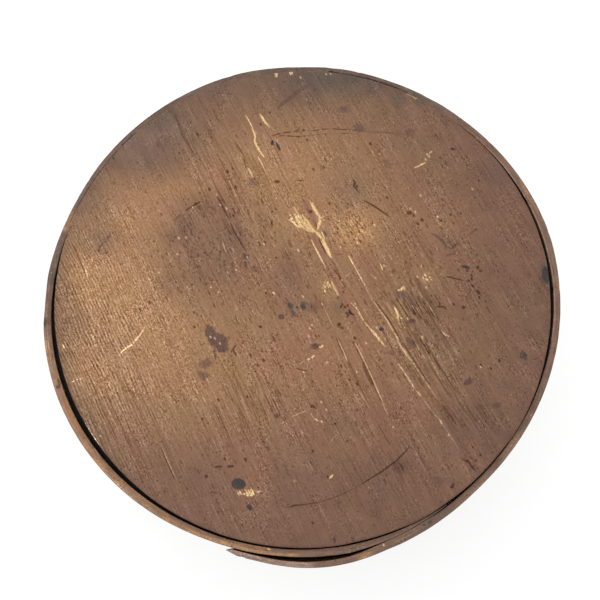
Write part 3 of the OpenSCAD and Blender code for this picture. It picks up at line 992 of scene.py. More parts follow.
# Dark lines by layer: width, strength, then x and y of each point
LID_LINES = {
    "groove": (
        (1.2, 0.4, 350.3, 129.6, 366.3, 131.6, 383.7, 132.3, 410.5, 135),
        (1, 0.5, 202, 196.5, 209.7, 196.5), (1, 0.5, 203.6, 206.8, 212.8, 207.2),
        (1.4, 0.6, 238, 229, 241.9, 236.6), (1.4, 0.6, 248, 232.8, 254.1, 238.9),
        (1.4, 0.6, 175.3, 114.8, 182.9, 136.5, 197, 158.2),
        (1.6, 0.7, 234, 140.4, 241.6, 151.8, 246.7, 168.4),
        (3.4, 0.8, 362.5, 362.5, 366.8, 371.3, 370.3, 378.6, 373.8, 386),
    ),
    "dent": (
        (1.6, 0.9, 363, 199.6, 367, 202, 374.6, 206.4, 382, 211.4, 390, 217),
        (1.6, 0.85, 360, 484.8, 366, 481.2, 383, 470.8, 396, 461, 405, 452, 411.4, 445),
        (2.2, 0.8, 290, 507, 294, 505.6, 298, 504.8),
        (1.3, 0.65, 286, 508, 294, 505.8, 308, 504, 320.8, 502.2),
        (1.1, 0.5, 316, 503, 330, 499, 343.6, 493.8, 362.3, 483.8),
        (1.6, 0.65, 398.5, 462, 402, 467, 403.5, 471.6), (1.2, 0.6, 382.6, 432, 386.4, 439, 391, 446),
        (1, 0.6, 378, 423.7, 382, 431, 386.1, 438.4), (1.4, 0.7, 399.6, 463.4, 402.2, 466.6, 403.6, 470.6),
        (1.5, 0.45, 173, 221, 177, 217.5, 181, 214),
        (1.4, 0.85, 184.5, 211, 188, 209.2, 192.1, 206.4, 196.7, 203.7, 202, 200.8),
        (1.4, 0.8, 217.5, 196, 219.5, 200, 222.7, 206.8, 226.6, 214.4, 230.4, 219.8),
        (1.3, 0.65, 228.9, 212.1, 231.2, 218.3),
        (1.7, 0.85, 230.6, 222.5, 233.5, 230.5, 237.3, 236.6, 241.1, 243.5, 244.6, 249.6),
        (1.2, 0.6, 246.5, 208.3, 249.5, 216, 253.3, 223.6), (1.7, 0.75, 258.5, 240.8, 260.4, 246.4),
        (1.6, 0.7, 263.8, 240.6, 266, 244), (1.3, 0.42, 259.5, 190.7, 261.5, 193.3, 264, 197),
        (1.2, 0.45, 198.2, 219.6, 199.5, 222.3),
        (1.4, 0.8, 445.4, 276.4, 451.1, 277.5, 456.5, 278.9, 463.7, 280.5),
        (1.2, 0.6, 446.5, 237, 450, 242.5, 453.4, 248), (1.8, 0.8, 470.8, 284.3, 474.2, 287.2),
        (1.6, 0.7, 469, 288.3, 470.4, 293.2), (1.6, 0.75, 438.5, 301, 440, 303.6, 439.2, 306.4),
        (1.8, 0.78, 435.6, 307, 440.4, 306.6, 444.6, 307, 446.6, 310),
        (2.4, 0.85, 462.2, 459.8, 467.6, 461, 471, 465.2, 475.6, 471.4),
        (1.2, 0.6, 160.6, 447, 167.6, 464, 175.4, 481),
        (2.8, 0.72, 214.5, 467.6, 218.5, 466.6, 222.5, 466.6),
        (2.8, 0.76, 227, 467, 230.5, 466.4, 234, 465.8), (2, 0.6, 205, 478, 207.4, 474.4),
        (1.2, 0.7, 296.1, 368.3, 300.7, 369.5, 306.6, 371.2),
        (1.2, 0.6, 296, 180, 300, 180.6, 304.5, 180.5), (1.2, 0.4, 334, 397.8, 339, 396.6, 343.6, 394.7),
        (1.4, 0.4, 320.6, 390.1, 325.2, 392.8),
        (2, 0.85, 352.6, 179.6, 355.4, 182.4, 353.6, 186, 356.4, 188.6, 357.6, 191.6),
        (1.1, 0.6, 351.5, 338, 356, 347.6, 359.8, 355, 363.6, 362.8, 366, 368),
        (1.1, 0.5, 369, 374, 374.2, 386.4, 378, 394.6, 381.6, 404),
        (1.1, 0.42, 347.4, 362.2, 351.2, 370.6, 355, 382), (1.2, 0.42, 364, 399.6, 367.5, 405.2),
        (1.3, 0.42, 368.8, 347.4, 371.3, 352.4), (1.4, 0.42, 376.3, 362, 379, 365.8, 381.2, 369.4),
        (1.2, 0.38, 395.4, 392.6, 399.6, 397.6), (1.4, 0.5, 311, 303.8, 311.6, 306.5, 312, 309.7),
        (1.5, 0.5, 300, 316.9, 302.8, 315.5), (1.6, 0.8, 312.6, 407, 314.4, 407.6, 316.4, 408.5),
        (1.4, 0.95, 230.8, 352.4, 233.5, 348.6, 236, 344.8), (1.4, 0.95, 233.4, 350.5, 236.6, 356.2),
        (1.8, 0.8, 111.4, 155.8, 114.6, 159.6), (1, 0.7, 72, 243, 77, 254, 83.4, 267),
        (1.2, 0.6, 287.6, 239, 290, 243.5, 292.6, 248), (1, 0.45, 281, 246, 285, 256, 290, 267),
        (1, 0.45, 295, 262, 299, 273, 303, 286), (1.8, 0.5, 338, 243, 342, 246, 347, 246.5),
        (1.6, 0.45, 333, 252.5, 338, 254.5, 344, 254), (1.1, 0.75, 441, 403, 446.5, 411.5, 456.5, 425),
        (1.1, 0.7, 402.5, 342, 412, 357.5, 421.6, 372.6, 431.5, 387),
        (1.1, 0.75, 424.6, 341, 432.5, 355, 441, 371.5), (1.1, 0.75, 418.6, 336.5, 425, 347, 431, 357.5),
        (1.4, 0.6, 432.6, 410, 431.6, 414.6), (2, 0.5, 209.5, 493, 214, 492.4, 217.5, 494),
        (1.1, 0.65, 433, 356, 446, 376, 458.5, 395), (1.1, 0.65, 428, 362, 440, 381, 452, 399.5),
        (1.2, 0.85, 318, 235.5, 322, 245.5, 326.4, 254.6), (1.2, 0.7, 329.6, 262, 335.6, 272, 342.6, 281.4),
        (2.4, 0.42, 362, 365, 366.6, 374.5, 372, 386), (1.1, 0.6, 334.6, 334.5, 340.6, 348.6, 349.6, 366),
        (1.1, 0.8, 373.6, 298.8, 381.4, 309.4, 389.4, 320.6, 401, 340),
    ),
    "scratch": (
        (0.9, 0.45, 368.4, 423.2, 373.5, 432, 378.9, 440.5),
        (0.9, 0.4, 391.6, 424.7, 395.5, 432, 399.5, 440.5),
    ),
    "stain": (
        (7, 0.55, 276, 109, 288, 100, 300, 90, 315, 82),
        (4.4, 0.6, 430, 233, 436, 235.5, 442, 240.5, 447, 246.5, 452.5, 249.5),
        (3.6, 0.62, 451.5, 249.5, 455, 246, 459.6, 241.4), (3, 0.55, 465, 237.5, 471, 233, 478.5, 228),
        (3.6, 0.58, 445.5, 256, 451.1, 254.2, 456.5, 253.2),
        (2.8, 0.7, 214.3, 346.5, 214.8, 354, 215.6, 361),
    ),
}

# Splinters, scratches and wounds by layer: width, strength, share of gaps, then x and y of each point
LID_WOUNDS = {
    "red": (
        (8, 0.9, 0, 302, 197.5, 308, 208, 313, 218, 316.8, 228),
        (7, 0.95, 0, 312.5, 235, 318, 246, 324, 257, 330, 268, 336, 281),
        (8, 0.7, 0, 333, 274, 340, 288, 349, 304, 360, 330), (7, 0.45, 0, 250, 112, 258, 126, 266, 142),
    ),
    "dent": (
        (1.6, 0.7, 0, 319.2, 240.3, 321.2, 244, 323.2, 247.4),
        (1.6, 0.6, 0, 315, 221.5, 316.8, 226, 316, 229.4),
        (1.2, 0.42, 0, 296.5, 216, 299.5, 219.5, 302, 222),
        (1.3, 0.62, 0, 374, 302, 379, 308.8, 384.4, 315.7, 391.4, 326.5),
        (1, 0.4, 0, 383, 295.5, 387.2, 301.8),
        (1, 0.4, 0.1, 322.5, 304, 328.2, 312.8, 331.8, 321, 335, 327.5),
        (1, 0.75, 0.6, 269, 137.2, 274, 135, 285, 132.6, 297, 131, 304, 130, 313, 131),
        (1, 0.72, 0.5, 310, 131.2, 322, 129.4, 330, 128.6, 341, 129.4, 353, 129.6),
        (1, 0.75, 0.5, 274.5, 136.6, 282, 135.6, 290, 136, 300, 136.4, 312, 135.2),
        (1, 0.68, 0.6, 310, 135.3, 322, 134.2, 334.2, 133.7, 350.3, 133),
    ),
    "groove": (
        (1.2, 0.8, 0, 331.5, 259, 336, 268, 346, 289), (1.2, 0.7, 0.2, 390, 324, 398, 336.1, 410, 356),
        (1, 0.6, 0.2, 338.3, 336, 344, 350, 356, 378, 372, 411),
    ),
    "raw": (
        (7, 0.6, 0, 300, 213, 305, 220, 309, 226, 313.5, 232),
        (2.6, 1, 0, 301.5, 213.8, 306.5, 220.5, 311, 227, 315, 232.6),
        (2, 0.95, 0, 304.5, 223.4, 309, 228.5, 313.4, 233), (1.8, 0.9, 0, 296.5, 222, 303, 227, 310, 232),
        (1.6, 0.85, 0, 290, 220, 295, 224, 300.5, 228.4), (2.6, 0.95, 0, 289.2, 220.5, 292.8, 217.3),
        (4.4, 0.78, 0, 310, 200.5, 313.7, 207.6, 317.5, 213.7, 320.8, 218.2),
        (2, 0.95, 0, 310.8, 202, 314.5, 209, 318.3, 215),
        (5, 0.72, 0, 319.8, 215.5, 319.8, 220.5, 318.6, 225, 316.8, 230.3),
        (1.6, 0.6, 0, 319.6, 217.6, 322, 217, 324.4, 216.2),
        (4.2, 1, 0, 313.8, 229.7, 318.3, 234, 322.6, 241.3, 326.7, 248.3, 331.6, 258.2),
        (1.4, 0.75, 0, 321, 230.7, 323, 235, 325.2, 240.6),
        (1.3, 0.62, 0, 311.5, 240.5, 318.4, 253.6, 325.5, 266.6),
        (2.2, 0.72, 0, 347.8, 254.8, 350.4, 259, 353.4, 264.6),
        (1.8, 0.72, 0, 350.5, 302, 356.5, 307.9, 361.5, 317.4, 368.7, 326.9),
        (2.8, 0.7, 0, 364.5, 321.8, 369.3, 327.4, 374.8, 333.6, 380.6, 341, 385.5, 347.5),
        (2.6, 0.55, 0, 415.6, 388.6, 418, 392.4, 421, 396.6),
        (1.6, 0.7, 0, 245.2, 114.4, 249.5, 122, 253.3, 129.3),
        (2.3, 0.95, 0, 251.5, 126.5, 254.6, 134, 255, 141.6, 259.4, 150.6, 264.5, 157.6),
        (2.4, 0.9, 0, 259.4, 113.4, 264.5, 121.2, 270.3, 127.6),
        (2, 0.9, 0.3, 144.8, 326.9, 140.2, 334.6, 131.8, 344.5, 123.4, 349.9, 118.3, 356),
        (1.8, 0.8, 0, 72, 382, 74.4, 380.2), (1.8, 0.8, 0, 76, 379.8, 78, 379.2),
        (2.4, 0.9, 0, 79.6, 379.6, 81.8, 377.6), (2, 0.85, 0, 61.9, 344.5, 64.5, 348.3),
        (1.6, 0.85, 0, 413.8, 167.8, 418.4, 166, 422.2, 164.1, 425.7, 162.2),
        (2.4, 1, 0, 311.6, 357.4, 314.5, 355.4), (2.2, 0.95, 0, 307.1, 360.1, 309.8, 358.1),
        (2.4, 0.9, 0, 319.6, 347.9, 321.4, 346.4, 323.6, 345.3),
        (1.7, 0.62, 0, 310.4, 413, 314.5, 418.4, 319.2, 421.4), (1.9, 1, 0, 329.2, 478.6, 333.2, 474.6),
        (2.2, 1, 0, 397.4, 290.3, 400.6, 289.8, 402.9, 287.3, 405.1, 290.2),
        (2.6, 0.9, 0, 394.2, 306.6, 396.4, 311.2, 397.5, 315.8, 399.5, 322.2),
        (1.6, 0.6, 0, 399.6, 317.4, 403.2, 319.9), (2, 0.85, 0, 421.8, 335.8, 423, 339.4),
        (1.3, 0.62, 0.4, 422, 277.4, 427, 279.8, 430.8, 283.3),
        (1.5, 0.75, 0, 379.8, 261.5, 381.5, 266.8, 382.8, 270.8),
        (2, 0.8, 0.4, 84.6, 422.2, 91, 433.5, 99, 445.2), (1.5, 0.8, 0.3, 405, 92, 411.6, 95.5, 418, 99.5),
    ),
    "scratch": (
        (1.7, 0.85, 0, 293.2, 206, 296.5, 211.5, 300.6, 217.7),
        (1, 0.45, 0, 295.2, 201.5, 298.5, 207.5, 301.6, 213.3),
        (1.6, 1, 0, 310.5, 238.4, 314.6, 246.4, 318.4, 253.6, 322.2, 261, 326.3, 268),
        (1.2, 0.5, 0, 330.6, 261.7, 334.2, 269.8), (1.8, 1, 0, 330.2, 279.5, 334.5, 288, 339.4, 297),
        (1.3, 0.85, 0, 350, 258, 355, 267.4, 364.8, 285.4),
        (1.2, 0.6, 0.2, 364, 284.5, 370, 296, 373.8, 302.8, 378, 308.4),
        (1.2, 0.55, 0.1, 380, 311.5, 386.4, 319.3, 390.3, 326.9, 395.2, 334.8, 400, 344.9),
        (1.8, 0.9, 0, 396.8, 340.6, 400.9, 346.1, 406.3, 354.5, 411, 361.3),
        (1.2, 0.5, 0.2, 409, 358, 414.5, 366, 420.5, 373.8), (1, 0.5, 0, 376.6, 287, 379.4, 291.6),
        (1, 0.45, 0.2, 381, 294.4, 386, 302, 389.4, 304),
        (1.1, 0.55, 0, 321.3, 303.4, 326.6, 312.5, 330.4, 321.4, 334, 328.5),
        (1, 0.38, 0.2, 337.8, 338, 342.3, 349.3, 348, 362),
        (1, 0.45, 0.1, 341.2, 311.4, 345.7, 322.1, 351.1, 332.8, 354.4, 341),
        (1, 0.85, 0, 353.2, 339.4, 357.3, 346.9, 361.2, 354.5, 365, 362.2, 368.8, 370.6),
        (1, 0.85, 0, 367.5, 367.5, 371.9, 377.5, 375.7, 385.9, 379.3, 394.2, 382.5, 402.5),
        (1.3, 0.65, 0.1, 379.5, 394.5, 382.8, 403, 385.4, 409.5, 389, 416.2),
        (1.2, 0.55, 0, 337.9, 339, 341.8, 348.2), (1.5, 0.8, 0, 343, 350.5, 345, 355, 347.4, 361.3),
        (1.1, 0.5, 0.1, 360.4, 391.2, 365.7, 401.2, 370.6, 409.4),
        (1.2, 0.55, 0.1, 392, 356.2, 398.6, 364.5, 403.2, 370.6, 411, 380.2),
        (1.8, 0.95, 0, 397.6, 363.3, 400.8, 367.4, 404, 371.6),
        (1.1, 0.5, 0.2, 409, 379, 418.6, 393.4, 440, 420.2, 449.4, 434.9, 464, 457.7),
        (1, 0.5, 0, 381, 341.5, 384.3, 345.7), (1, 0.55, 0, 389, 424.6, 390.2, 426),
        (1.1, 0.75, 0.1, 400.5, 341.6, 410.4, 358.3, 420, 373.6, 430, 388.2, 440, 402.6),
        (1, 0.7, 0.2, 420.6, 341, 428.4, 355.6, 436.4, 371, 441.5, 380),
        (1, 0.65, 0.2, 414, 340, 421, 351.5, 428, 362.5),
        (1.2, 0.6, 0, 344.6, 278.4, 347.4, 275.2, 350.6, 272.4),
        (1, 0.65, 0.1, 430.6, 359, 443, 378.6, 455, 397), (1.2, 0.85, 0, 400, 366, 408, 378.4, 416, 390),
        (1, 0.55, 0.2, 421, 396.6, 430, 408.6, 440, 422),
        (1, 0.75, 0.1, 337.6, 338.6, 342, 348, 347.4, 359.4),
        (1, 0.5, 0.3, 354.6, 384.6, 361.5, 396, 370.4, 411),
        (1.1, 0.85, 0.1, 372.2, 299.6, 380, 310.2, 388, 321.4, 399.6, 340.8),
        (1.5, 0.9, 0, 248.8, 167.6, 251, 172.4, 253.2, 177), (1.1, 0.7, 0, 240.6, 153.4, 244.2, 158.6),
        (1.2, 0.5, 0, 246, 116, 249.5, 122, 252.5, 127.8),
        (1.3, 0.75, 0, 257.6, 156, 260.6, 161.5, 264.4, 168), (1, 0.4, 0.1, 264, 167, 267.5, 173, 271, 179),
        (1.3, 0.75, 0, 247.5, 168, 250.3, 172.1, 253.2, 176.3), (1.1, 0.5, 0, 240.3, 151.8, 244.1, 158.2),
        (1.2, 0.6, 0, 274.3, 137.2, 278.2, 142.3), (1.2, 0.6, 0, 265.7, 199, 268, 202.4, 270.5, 205.6),
        (1, 0.45, 0, 231.5, 222.5, 235, 229, 238.8, 235.1, 241.4, 240.2),
        (1.3, 0.72, 0, 222.2, 240.5, 224.3, 247.3, 226, 252.6),
        (2, 0.6, 0.4, 144.8, 326.9, 140.2, 334.6, 131.8, 344.5, 123.4, 349.9, 118.3, 356),
        (1, 0.6, 0.2, 162, 446.6, 169, 463.6, 176.6, 480), (1.4, 0.8, 0, 428.9, 153.6, 432.5, 150.8),
        (1, 0.75, 0.1, 82, 262, 86, 272, 90, 283), (1.6, 0.6, 0.3, 291.5, 365, 299.6, 363.7, 305, 360.6),
        (1.3, 0.6, 0.2, 289.5, 416.7, 294.6, 415.4, 299.6, 413.5, 306.5, 410.2),
        (1.5, 0.7, 0, 315.6, 419, 319, 421.3), (1, 0.5, 0, 336.9, 434.2, 332, 439.5, 328.8, 445.6),
        (1.4, 0.7, 0, 422.2, 263.8, 420.7, 267.6), (1.3, 0.7, 0, 440.8, 330.5, 445.4, 334.9, 451.4, 337),
        (1.3, 0.6, 0, 402.4, 259.2, 403.4, 263.4), (1.2, 0.5, 0, 374.4, 254.2, 377.1, 258),
        (1.8, 0.9, 0, 440, 420, 442.4, 424.5), (1.8, 0.85, 0, 448, 433.6, 449.4, 436),
    ),
    "stain": (
        (3.4, 0.66, 0.5, 112, 233.5, 107, 238.5, 103.5, 243.5),
        (3, 0.66, 0.5, 104, 242.5, 100, 246.5, 98.6, 251, 102, 254),
        (3, 0.6, 0.5, 101, 254, 105, 253.4, 109, 250.6),
    ),
}

# Sheaves of grain lines by layer: x, y, spread, length, slope, count, width, strength, seed
LID_SHEAVES = {
    "groove": (
        (420, 320, 22, 50, 58, 26, 1, 0.6, 11), (452, 400, 24, 60, 56, 18, 1, 0.36, 13),
        (240, 185, 50, 40, 64, 50, 1, 0.5, 15), (110, 420, 46, 90, 66, 34, 1.3, 0.5, 17),
        (245, 400, 36, 36, 66, 46, 1, 0.5, 19), (360, 400, 60, 60, 62, 40, 1, 0.42, 21),
        (380, 470, 46, 44, 61, 36, 1, 0.42, 22), (390, 260, 40, 44, 60, 36, 1, 0.42, 23),
        (180, 150, 40, 36, 67, 30, 1, 0.4, 24),
    ),
    "ridge": (
        (427, 325, 22, 50, 58, 20, 0.9, 0.55, 12), (448, 400, 26, 60, 56, 16, 0.9, 0.36, 14),
        (245, 170, 50, 40, 64, 24, 0.9, 0.4, 16), (110, 415, 46, 90, 66, 34, 1.2, 0.55, 18),
        (245, 400, 36, 36, 66, 36, 0.9, 0.5, 20),
    ),
}

# Rows of combed lines by layer: x, y, step across, count, length, slope, width, strength
LID_ROWS = {
    "dent": (
        (402.5, 308, 3.4, 9, 26, 58, 1, 0.8), (447, 416, 3.5, 13, 42, 55, 0.9, 0.55),
    ),
    "scratch": (
        (404.2, 308, 3.4, 9, 24, 58, 0.9, 0.55), (448.7, 416, 3.5, 13, 38, 55, 0.8, 0.4),
    ),
    "groove": (
        (262, 405, 3.6, 5, 26, 67, 1, 0.7),
    ),
    "ridge": (
        (263.8, 405, 3.6, 5, 24, 67, 0.9, 0.6),
    ),
}

# Dents and pale specks: layer, size, strength, places
LID_DOTS = (
    ("dent", 2.4, 1, (
        (140.2, 309.8), (149.4, 302.4), (218.3, 399.9), (263.5, 360.3), (354.7, 337.8), (197.6, 134.4),
        (227.7, 171.6), (209.5, 189.2), (235.8, 186.9), (370.4, 143.7), (245.4, 459), (206.5, 476.4),
        (422.2, 220), (477.9, 267.6), (499.4, 360.6), (452.7, 486.5), (311, 211.4), (471.8, 278.7),
        (257.8, 365.4),
    )),
    ("dent", 2, 0.8, (
        (247.4, 396.7), (202.5, 418.8), (387, 197.6), (411, 212.5), (413.8, 215.4), (436, 215.8),
        (441.3, 220.3), (460.8, 213.5), (450.5, 214.6), (468.7, 280.6), (471.4, 275.2), (479.4, 297.4),
        (453.9, 304.2), (467.2, 270.7), (480.2, 271), (266, 293), (342.4, 304.4), (347.7, 305.4),
        (357, 186), (329.5, 203.5), (341.3, 366), (349.7, 379.8), (357.7, 384.4), (401, 408.1),
        (335.1, 423.8), (430, 352), (480.5, 455), (486, 470), (297.2, 307.5), (343.5, 292), (220.4, 251.9),
        (233.5, 215.6), (260.8, 124.3), (269.5, 112.5), (313.5, 169.3), (324, 167.3), (307.3, 139.8),
        (194.6, 326.9), (418, 223.8), (194, 312.5), (312.8, 523), (451.2, 487.3), (453.4, 484),
        (475.8, 460.6), (327.6, 477), (313, 451), (340.4, 279.2), (245.8, 460.5), (481, 365), (491, 368.5),
        (225, 459),
    )),
    ("dent", 1.8, 0.62, (
        (357.3, 344.4), (339.7, 403.5), (357.3, 410), (326, 420.7), (312.6, 381.7), (392.9, 372.5),
        (382.2, 370.6), (440.2, 157.6), (429.1, 183.2), (478.8, 180.6), (401.5, 206.6), (453.6, 223.4),
        (454.7, 149.2), (485.9, 301.3), (458.4, 269.9), (431.2, 302), (436.6, 335.7), (230, 188.8),
        (199.8, 193), (186, 204.5), (188.7, 199.5), (191.8, 234.3), (184.5, 231.3), (173, 241.2),
        (264.8, 220.5), (272.5, 211.4), (286.5, 314.5), (319, 336), (232.5, 168.4), (298, 130.5),
        (303.5, 130), (232.5, 365), (400, 352), (392, 364), (406, 262.6),
    )),
    ("scratch", 1.6, 1, (
        (226.6, 208.4), (220.4, 204.9), (178.6, 238.1), (177.2, 254.4), (321.4, 402), (356.6, 371.8),
        (366.1, 343.1), (321.8, 421.5), (429.1, 156.4), (247.2, 257.3), (378.8, 340.4), (210.5, 337),
        (214.8, 338.2), (220, 343.5), (374.5, 224.8), (298.4, 250.4), (424.7, 274.5), (357, 238.3),
        (357.3, 242.8),
    )),
    ("scratch", 1.5, 0.85, (
        (311.7, 325.2), (310, 328.3), (309, 336), (355, 303.9), (303, 296.5), (273.8, 293), (216.4, 194.6),
        (159.2, 272.6), (227.3, 272.3), (213.5, 282.2), (210.8, 287.2), (218.5, 292), (236, 270),
        (264, 244.3), (300.5, 77.5), (330.5, 73.6), (326, 74), (375.5, 278), (192.6, 207.2), (186, 237.4),
        (100.2, 436), (326.3, 409.6), (327.1, 362.2), (303.4, 372.1), (393.3, 427.2), (425.6, 159.5),
        (427.2, 154.2), (472.3, 189), (415.3, 211.9), (410.3, 208.5), (437.7, 216.6), (420.3, 195.4),
        (417.4, 276.8), (426.2, 287.5), (407.5, 318.5), (376.1, 327.6), (339.7, 220.6), (340.4, 246.6),
        (322, 304.2), (383.8, 265.5), (341.6, 280), (480.6, 367), (364.6, 284.6), (294.2, 481.2),
    )),
)

# Strewn strokes by layer: x, y, spread across, spread down, count, half length, slope, strength, seed
LID_FLECKS = {
    "dent": (
        (275, 245, 22, 22, 44, 2.6, 60, 0.7, 72), (233, 225, 18, 24, 40, 2.6, 62, 0.6, 73),
        (297, 290, 16, 14, 26, 2.2, 60, 0.6, 75), (341, 235, 7, 6, 40, 1.5, 55, 0.7, 53),
        (346, 228, 9, 8, 34, 1.3, 10, 0.62, 54), (357, 229, 9, 9, 60, 2, 62, 0.66, 64),
        (415, 311, 10, 10, 26, 3.5, 56, 0.45, 67),
    ),
    "scratch": (
        (275, 248, 22, 22, 26, 2, 60, 0.5, 74), (237, 266, 8, 5, 20, 1.2, 63, 0.55, 65),
        (85, 268, 10, 14, 40, 2, 66, 0.5, 47), (90, 330, 28, 60, 120, 1.6, 66, 0.5, 48),
        (240, 265, 25, 25, 24, 1, 63, 0.5, 49), (200, 430, 8, 5, 8, 1, 63, 0.6, 50),
        (310, 310, 105, 100, 150, 0.8, 63, 0.45, 51), (290, 300, 110, 110, 60, 3, 63, 0.35, 57),
    ),
    "raw": (
        (94.5, 379, 2.4, 2, 10, 1, 63, 0.42, 76), (350, 231, 9, 8, 26, 1.2, 62, 0.5, 52),
        (426, 277.6, 3, 2.4, 12, 1.2, 40, 0.75, 68), (239.5, 492.6, 2.2, 1.5, 9, 1.2, 63, 0.75, 69),
        (257.5, 491, 2.4, 1, 8, 1, 63, 0.72, 70), (297, 221, 4, 3, 8, 1.6, 30, 0.75, 43),
        (322, 218, 2, 3, 5, 1.6, -30, 0.55, 56), (326, 285, 2.2, 3, 16, 1.6, 63, 0.85, 44),
        (249, 492, 6, 2.2, 12, 1.2, 63, 0.7, 45), (398, 318, 4, 8, 10, 1.8, 63, 0.55, 46),
    ),
    "gold": (
        (356, 229, 9, 9, 80, 1.8, 62, 0.9, 41), (341, 235, 6, 6, 40, 1.6, 35, 0.9, 42),
    ),
    "groove": (
        (300, 310, 110, 110, 240, 2.4, 63, 0.7, 58), (300, 310, 110, 110, 140, 0.6, 63, 0.8, 59),
        (205, 248, 28, 30, 70, 1.8, 63, 0.85, 60), (410, 310, 26, 36, 50, 3.5, 60, 0.85, 61),
    ),
    "ridge": (
        (205, 248, 28, 30, 50, 1.8, 63, 0.75, 66), (410, 310, 26, 36, 40, 3.5, 60, 0.8, 62),
        (300, 300, 110, 110, 160, 3, 63, 0.6, 63),
    ),
}

# The plum tint along the lid board's edge
EDGE_PLUM = 0.4
EDGE_WIDTH = 9.0

# Cells of the grain's furrows to a millimetre, and depths of furrows and marks
FURROW_ALONG = 0.05
FURROW_ACROSS = 0.5
PLAIN_DEPTH = 0.03
SAWN_DEPTH = 0.08
LINE_DEPTH = 0.1
WOUND_DEPTH = 0.15
SPLINTER_DEPTH = 0.3


def rows_of(table):
    """Each row of a table by layer, with its layer first."""
    return [(layer, *row) for layer, rows in table.items() for row in rows]


def points_of(numbers):
    """Pairs of x and y from a line of numbers."""
    return tuple(zip(numbers[::2], numbers[1::2]))


def lid_marks(points):
    """All layers of marks on the lid board, and the depth that they cut into its top."""
    px, py = photo_place(points)
    marks = Marks(px, py)
    for zone in rows_of(LID_ZONES):
        marks.zone(*zone)
    inset = LID_BOARD_R - np.hypot(points[:, 0], points[:, 1])
    marks.lay("plum", slice(None), EDGE_PLUM * fade(inset, 0.0, EDGE_WIDTH))
    grain = grain_of(points)
    furrows = Noise(seed=5).rough(grain[:, 0] * FURROW_ALONG, grain[:, 1] * FURROW_ACROSS, 2)
    marks.cut(slice(None), furrows * mix(PLAIN_DEPTH, SAWN_DEPTH, marks.layers["hatch"]))
    for sheaf in rows_of(LID_SHEAVES):
        marks.sheaf(*sheaf)
    for layer, width, strength, *line in rows_of(LID_LINES):
        marks.stroke(layer, width, strength, points_of(line), depth=LINE_DEPTH)
    for row in rows_of(LID_ROWS):
        marks.row(*row)
    for dots in LID_DOTS:
        marks.dots(*dots)
    for blot in rows_of(LID_BLOTS):
        marks.blot(*blot)
    for layer, width, strength, gaps, *line in rows_of(LID_WOUNDS):
        depth = SPLINTER_DEPTH if layer == "raw" else WOUND_DEPTH
        marks.stroke(layer, width, strength, points_of(line), gaps=gaps, depth=depth)
    for flecks in rows_of(LID_FLECKS):
        marks.flecks(*flecks)
    return marks


LID_CELLS = 720

# The lid board's outline: how uneven it is, and the least and the extra width of its worn upper edge
LID_OUTLINE = Noise(seed=8)
OUTLINE_WEAR = 0.25
OUTLINE_CELLS = 14.0
EASE_LEAST = 0.7
EASE_MORE = 0.7
EASE_CELLS = 7.0
EASE_SHIFT = 40.0

# Where the lid board reaches nearer to its band, or less near: direction, half width in degrees and length
LID_REACHES = ((20.0, 26.0, 0.48), (186.0, 30.0, 0.2), (312.0, 14.0, -0.4), (286.0, 9.0, -0.2))


def lid_worn(angle):
    """How far the lid board's edge is worn in."""
    worn = OUTLINE_WEAR * LID_OUTLINE.rough(OUTLINE_CELLS * np.cos(angle), OUTLINE_CELLS * np.sin(angle))
    for middle, half, reach in LID_REACHES:
        off = np.abs(np.mod(np.degrees(angle) - middle + 180.0, 360.0) - 180.0)
        worn = worn - reach * fade(off, half / 2, half)
    return worn


def lid_eased(angle):
    """Width of the lid board's worn upper edge."""
    at_x = EASE_SHIFT + EASE_CELLS * np.cos(angle)
    at_y = EASE_SHIFT + EASE_CELLS * np.sin(angle)
    return EASE_LEAST + EASE_MORE * LID_OUTLINE.at(at_x, at_y)


# The lid board's edge: height and share of the way out to the band; it closes the slit below the rim's top
LID_EDGE = ((5.6, 0.0), (3.7, 0.0), (3.3, 0.9), (2.0, 1.0), (UNDER_EASE, 1.0))
BAND_TOUCH = 0.12


def lid_foot(angle):
    """Radius of the lid board's lower edge, which follows the band."""
    turn = np.mod(LAP_DIR - np.degrees(angle), 360.0)
    return LID_RIM.radius + out_of_round(LAP_DIR - turn) - BAND_TOUCH


# The board's edge is brown at its top and takes painted shade of the slit over a depth below, and its
# underside has a tint
EDGE_BROWN = 1.5
EDGE_DARKENS = 2.0
UNDER_TINT = 0.35


def make_lid_board():
    def carve(x, y):
        points = np.stack((x, y, np.full(len(x), LID_TOP)), axis=1)
        return lid_marks(points).carve

    points, faces, top = board(
        LID_BOARD_R, LID_BOARD_T, LID_BOARD_Z, LID_CELLS, lid_worn, lid_eased, carve, LID_EDGE, lid_foot,
    )
    flat = points.copy()
    flat[:, 2] = LID_TOP
    layers = lid_marks(flat).layers
    for name in layers:
        layers[name] = layers[name] * np.where(top > 0, 1.0, 0.0)
    below = top == 0
    layers["fresh"][below] = UNDER_TINT
    layers["grime"][below] = UNDER_TINT
    # Painted shade on the board's edge inside the slit beside its band
    in_slit = below & (points[:, 2] > LID_BOARD_Z + UNDER_EASE)
    layers["slit_shade"][in_slit] = ease((LID_TOP - points[in_slit, 2] - EDGE_BROWN) / EDGE_DARKENS)
    grain = grain_of(points)
    add_piece("lid_board_fine", points, faces, LID_WOOD, "lid", "lid_board", grain, layers)


# Rows of a band's profile: round each edge, and on its outside, top, inside and foot
ROUND_STEPS = 4
OUTER_ROWS = 12
TOP_ROWS = 9
INNER_ROWS = 8
FOOT_ROWS = 3


